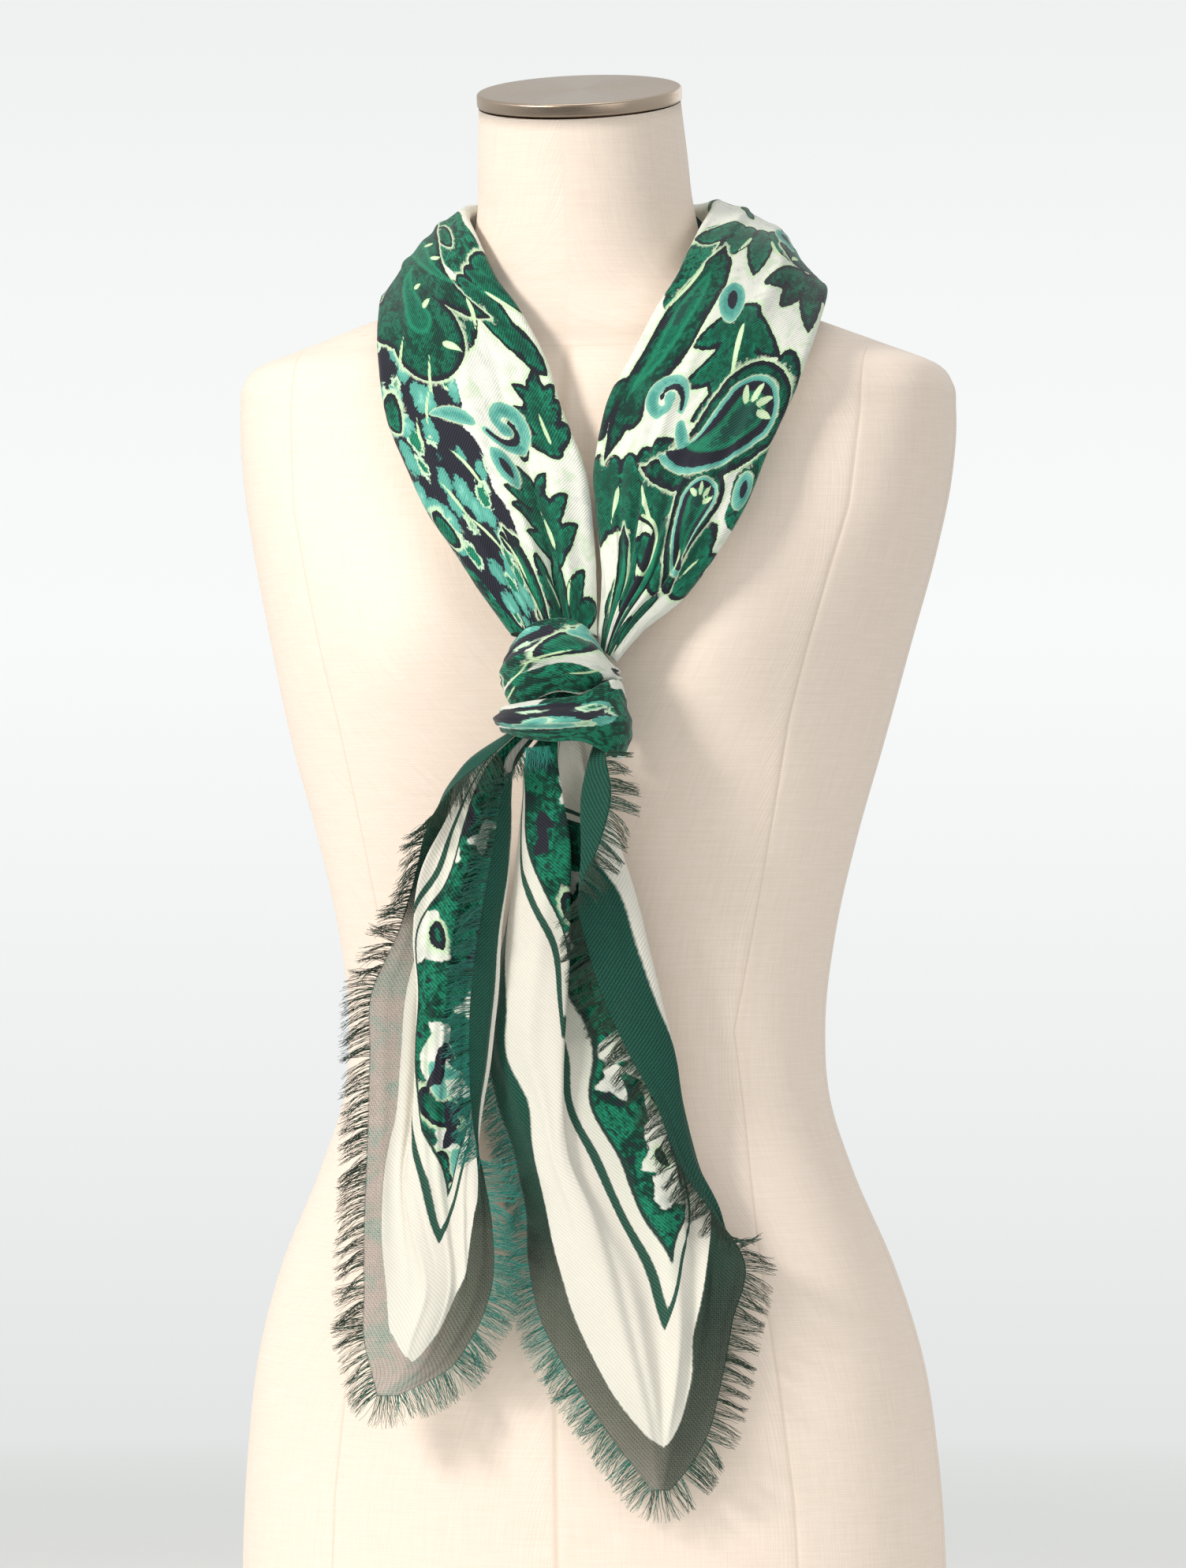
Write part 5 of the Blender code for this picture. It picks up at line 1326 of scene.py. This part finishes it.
def threadPiece(name, bundles, replaced):  # three-sided tubes that narrow to their tips
    paths, facing, teal = (np.concatenate(part) for part in zip(*bundles))
    count, rings, _ = paths.shape
    along = unit(np.gradient(paths, axis=1))
    side = unit(np.cross(along, facing[:, None]))
    up = np.cross(side, along)
    radius = np.linspace(fringe["radius"], fringe["tipRadius"], rings)[None, :, None, None]
    angle = (np.arange(3) * 2 * pi / 3)[:, None]
    tube = paths[:, :, None] + radius * (np.cos(angle) * side[:, :, None] + np.sin(angle) * up[:, :, None])
    start = np.arange(count)[:, None, None] * rings * 3
    ring, corner = np.meshgrid(np.arange(rings - 1), np.arange(3), indexing="ij")
    a, b = ring * 3 + corner, ring * 3 + (corner + 1) % 3
    walls = np.stack([a, b, b + 3, a + 3], 2).reshape(1, -1, 4) + start
    ends = np.array([[2, 1, 0], [rings * 3 - 3, rings * 3 - 2, rings * 3 - 1]])[None] + start
    faces = walls.reshape(-1, 4).tolist() + ends.reshape(-1, 3).tolist()
    made = addPiece(name, tube @ turned.T, faces, yarnThread,
                    {"tint": np.repeat(teal, rings * 3)})
    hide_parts(*replaced)
    return made


leftFrom, rightInnerFrom, rightOuterFrom = 5, 58, 4  # rows down to where an edge leaves the knot
leftFringe = threadPiece("fringeLeft", (
    edgeThreads(leftGrid[leftFrom:, 0], leftGrid[leftFrom:, 1], fringeRuns["leftOuter"], 31),
    edgeThreads(leftGrid[leftFrom:, -1], leftGrid[leftFrom:, -2], fringeRuns["leftInner"], 32),
    edgeThreads(leftGrid[-1], leftGrid[-2], fringeRuns["corner"], 36),
), ("fringe_left_outer", "fringe_left_lap", "fringe_left_inner"))
rightFringe = threadPiece("fringeRight", (
    edgeThreads(rightGrid[rightInnerFrom:, 0], rightGrid[rightInnerFrom:, 1],
                fringeRuns["rightInner"], 33),
    edgeThreads(rightGrid[rightOuterFrom:, -1], rightGrid[rightOuterFrom:, -2],
                fringeRuns["rightOuter"], 34),
    shortThreads(35),
    edgeThreads(rightGrid[-1], rightGrid[-2], fringeRuns["corner"], 37),
), ("fringe_right_inner", "fringe_right_flap", "fringe_right_lap", "fringe_right_outer"))
print("fringe drawn out")


setting = {
    "floorRadius": 1.7, "floorFade": 0.9, "floor": "eceeed",
    # height of a direction, from minus to plus the span, and the pale surround's colour there
    "surroundSpan": 0.12,
    "surround": ((-0.10, "e0e2e1"), (-0.04, "eef0ef"), (0.02, "f9fbfa"), (0.06, "f6f8f7"),
                 (0.11, "eef0ef")),
    "surroundLight": 0.52,
    # shiny pieces mirror a studio that is dark in front, behind the camera, and pale all round else
    "frontShine": 0.22, "surroundShine": 0.9, "shineFrom": -0.95, "shineTo": -0.1,
}
lamps = {  # place, aim, size, watts, warmth
    "key": ((-1.75, -2.25, 1.75), (0, 0, 0.48), 0.62, 71, "fff8f1"),
    "fill": ((2.2, -2.6, 1.0), (0, 0, 0.45), 2.0, 21, "fcf8f3"),
    "top": ((0.0, -0.4, 2.7), (0, 0, 0.6), 1.4, 10, "ffffff"),
    "back": ((1.2, 2.6, 1.6), (0, 0, 0.5), 2.0, 12, "ffffff"),
}
view = {"lens": 174.5, "sensor": 36, "distance": 4.0, "turn": 10, "height": 0.4877}  # mm; m and degrees


def makeFloor():
    # matt studio paper that fades into the surround
    made, tree, shader = newMaterial("studioPaper", Roughness=0.95, Specular_IOR_Level=0.1)
    shader.inputs["Base Color"].default_value = toLinear(setting["floor"])
    where = addNode(tree, "TexCoord").outputs["Object"]
    far = addNode(tree, "VectorMath", {0: where}, operation="LENGTH").outputs["Value"]
    fade = addNode(tree, "MapRange", {"Value": far, "From Min": setting["floorFade"],
                                      "From Max": setting["floorRadius"], "To Min": 1.0,
                                      "To Max": 0.0}).outputs["Result"]
    tree.links.new(fade, shader.inputs["Alpha"])
    return made


def addFloor():
    mesh = bpy.data.meshes.new("floor")
    sheet = bmesh.new()
    bmesh.ops.create_circle(sheet, cap_ends=True, segments=96, radius=setting["floorRadius"])
    sheet.to_mesh(mesh)
    sheet.free()
    mesh.materials.append(makeFloor())
    made = bpy.data.objects.new("floor", mesh)
    made.location.z = -0.0005  # just under the form's base, so the two don't flicker
    bpy.context.collection.objects.link(made)


def addSurround():
    world = bpy.data.worlds.new("surround")
    world.use_nodes = True
    tree = world.node_tree
    tree.nodes.clear()
    towards = addNode(tree, "TexCoord").outputs["Generated"]
    parts = addNode(tree, "SeparateXYZ", {0: towards}).outputs
    span = setting["surroundSpan"]
    height = addNode(tree, "MapRange", {"Value": parts["Z"], "From Min": -span, "From Max": span})
    ramp = addNode(tree, "ValToRGB", {"Fac": height.outputs["Result"]})
    fillRamp(ramp, setting["surround"], -span, span)
    ahead = addNode(tree, "MapRange", {"Value": parts["Y"], "From Min": setting["shineFrom"],
                                       "From Max": setting["shineTo"], "To Min": setting["frontShine"],
                                       "To Max": setting["surroundShine"]}).outputs["Result"]
    path = addNode(tree, "LightPath").outputs
    shiny = addNode(tree, "MapRange", {"Value": path["Is Glossy Ray"], "To Min": setting["surroundLight"],
                                       "To Max": ahead}).outputs["Result"]
    strength = addNode(tree, "Math", {0: shiny, 1: path["Is Camera Ray"]}, operation="MAXIMUM").outputs[0]
    shine = addNode(tree, "Background", {"Color": ramp.outputs["Color"], "Strength": strength})
    addNode(tree, "OutputWorld", {"Surface": shine.outputs["Background"]})
    bpy.context.scene.world = world


def addLamp(name, place, aim, size, watts, warmth):
    lamp = bpy.data.lights.new(name, "AREA")
    lamp.size, lamp.energy, lamp.color = size, watts, toLinear(warmth)[:3]
    made = bpy.data.objects.new(name, lamp)
    made.location = place
    made.rotation_euler = (Vector(aim) - Vector(place)).to_track_quat("-Z", "Y").to_euler()
    bpy.context.collection.objects.link(made)


def addCamera():
    lens = bpy.data.cameras.new("camera")
    lens.lens, lens.sensor_width = view["lens"], view["sensor"]
    made = bpy.data.objects.new("camera", lens)
    distance, turn = view["distance"], radians(view["turn"])
    made.location = (distance * sin(turn), -distance * cos(turn), view["height"])
    made.rotation_euler = (pi / 2, 0, turn)
    bpy.context.collection.objects.link(made)
    bpy.context.scene.camera = made


addFloor()
addSurround()
for name, lamp in lamps.items():
    addLamp(name, *lamp)
addCamera()
bpy.context.scene.view_settings.view_transform = "Standard"
print("setting lit")
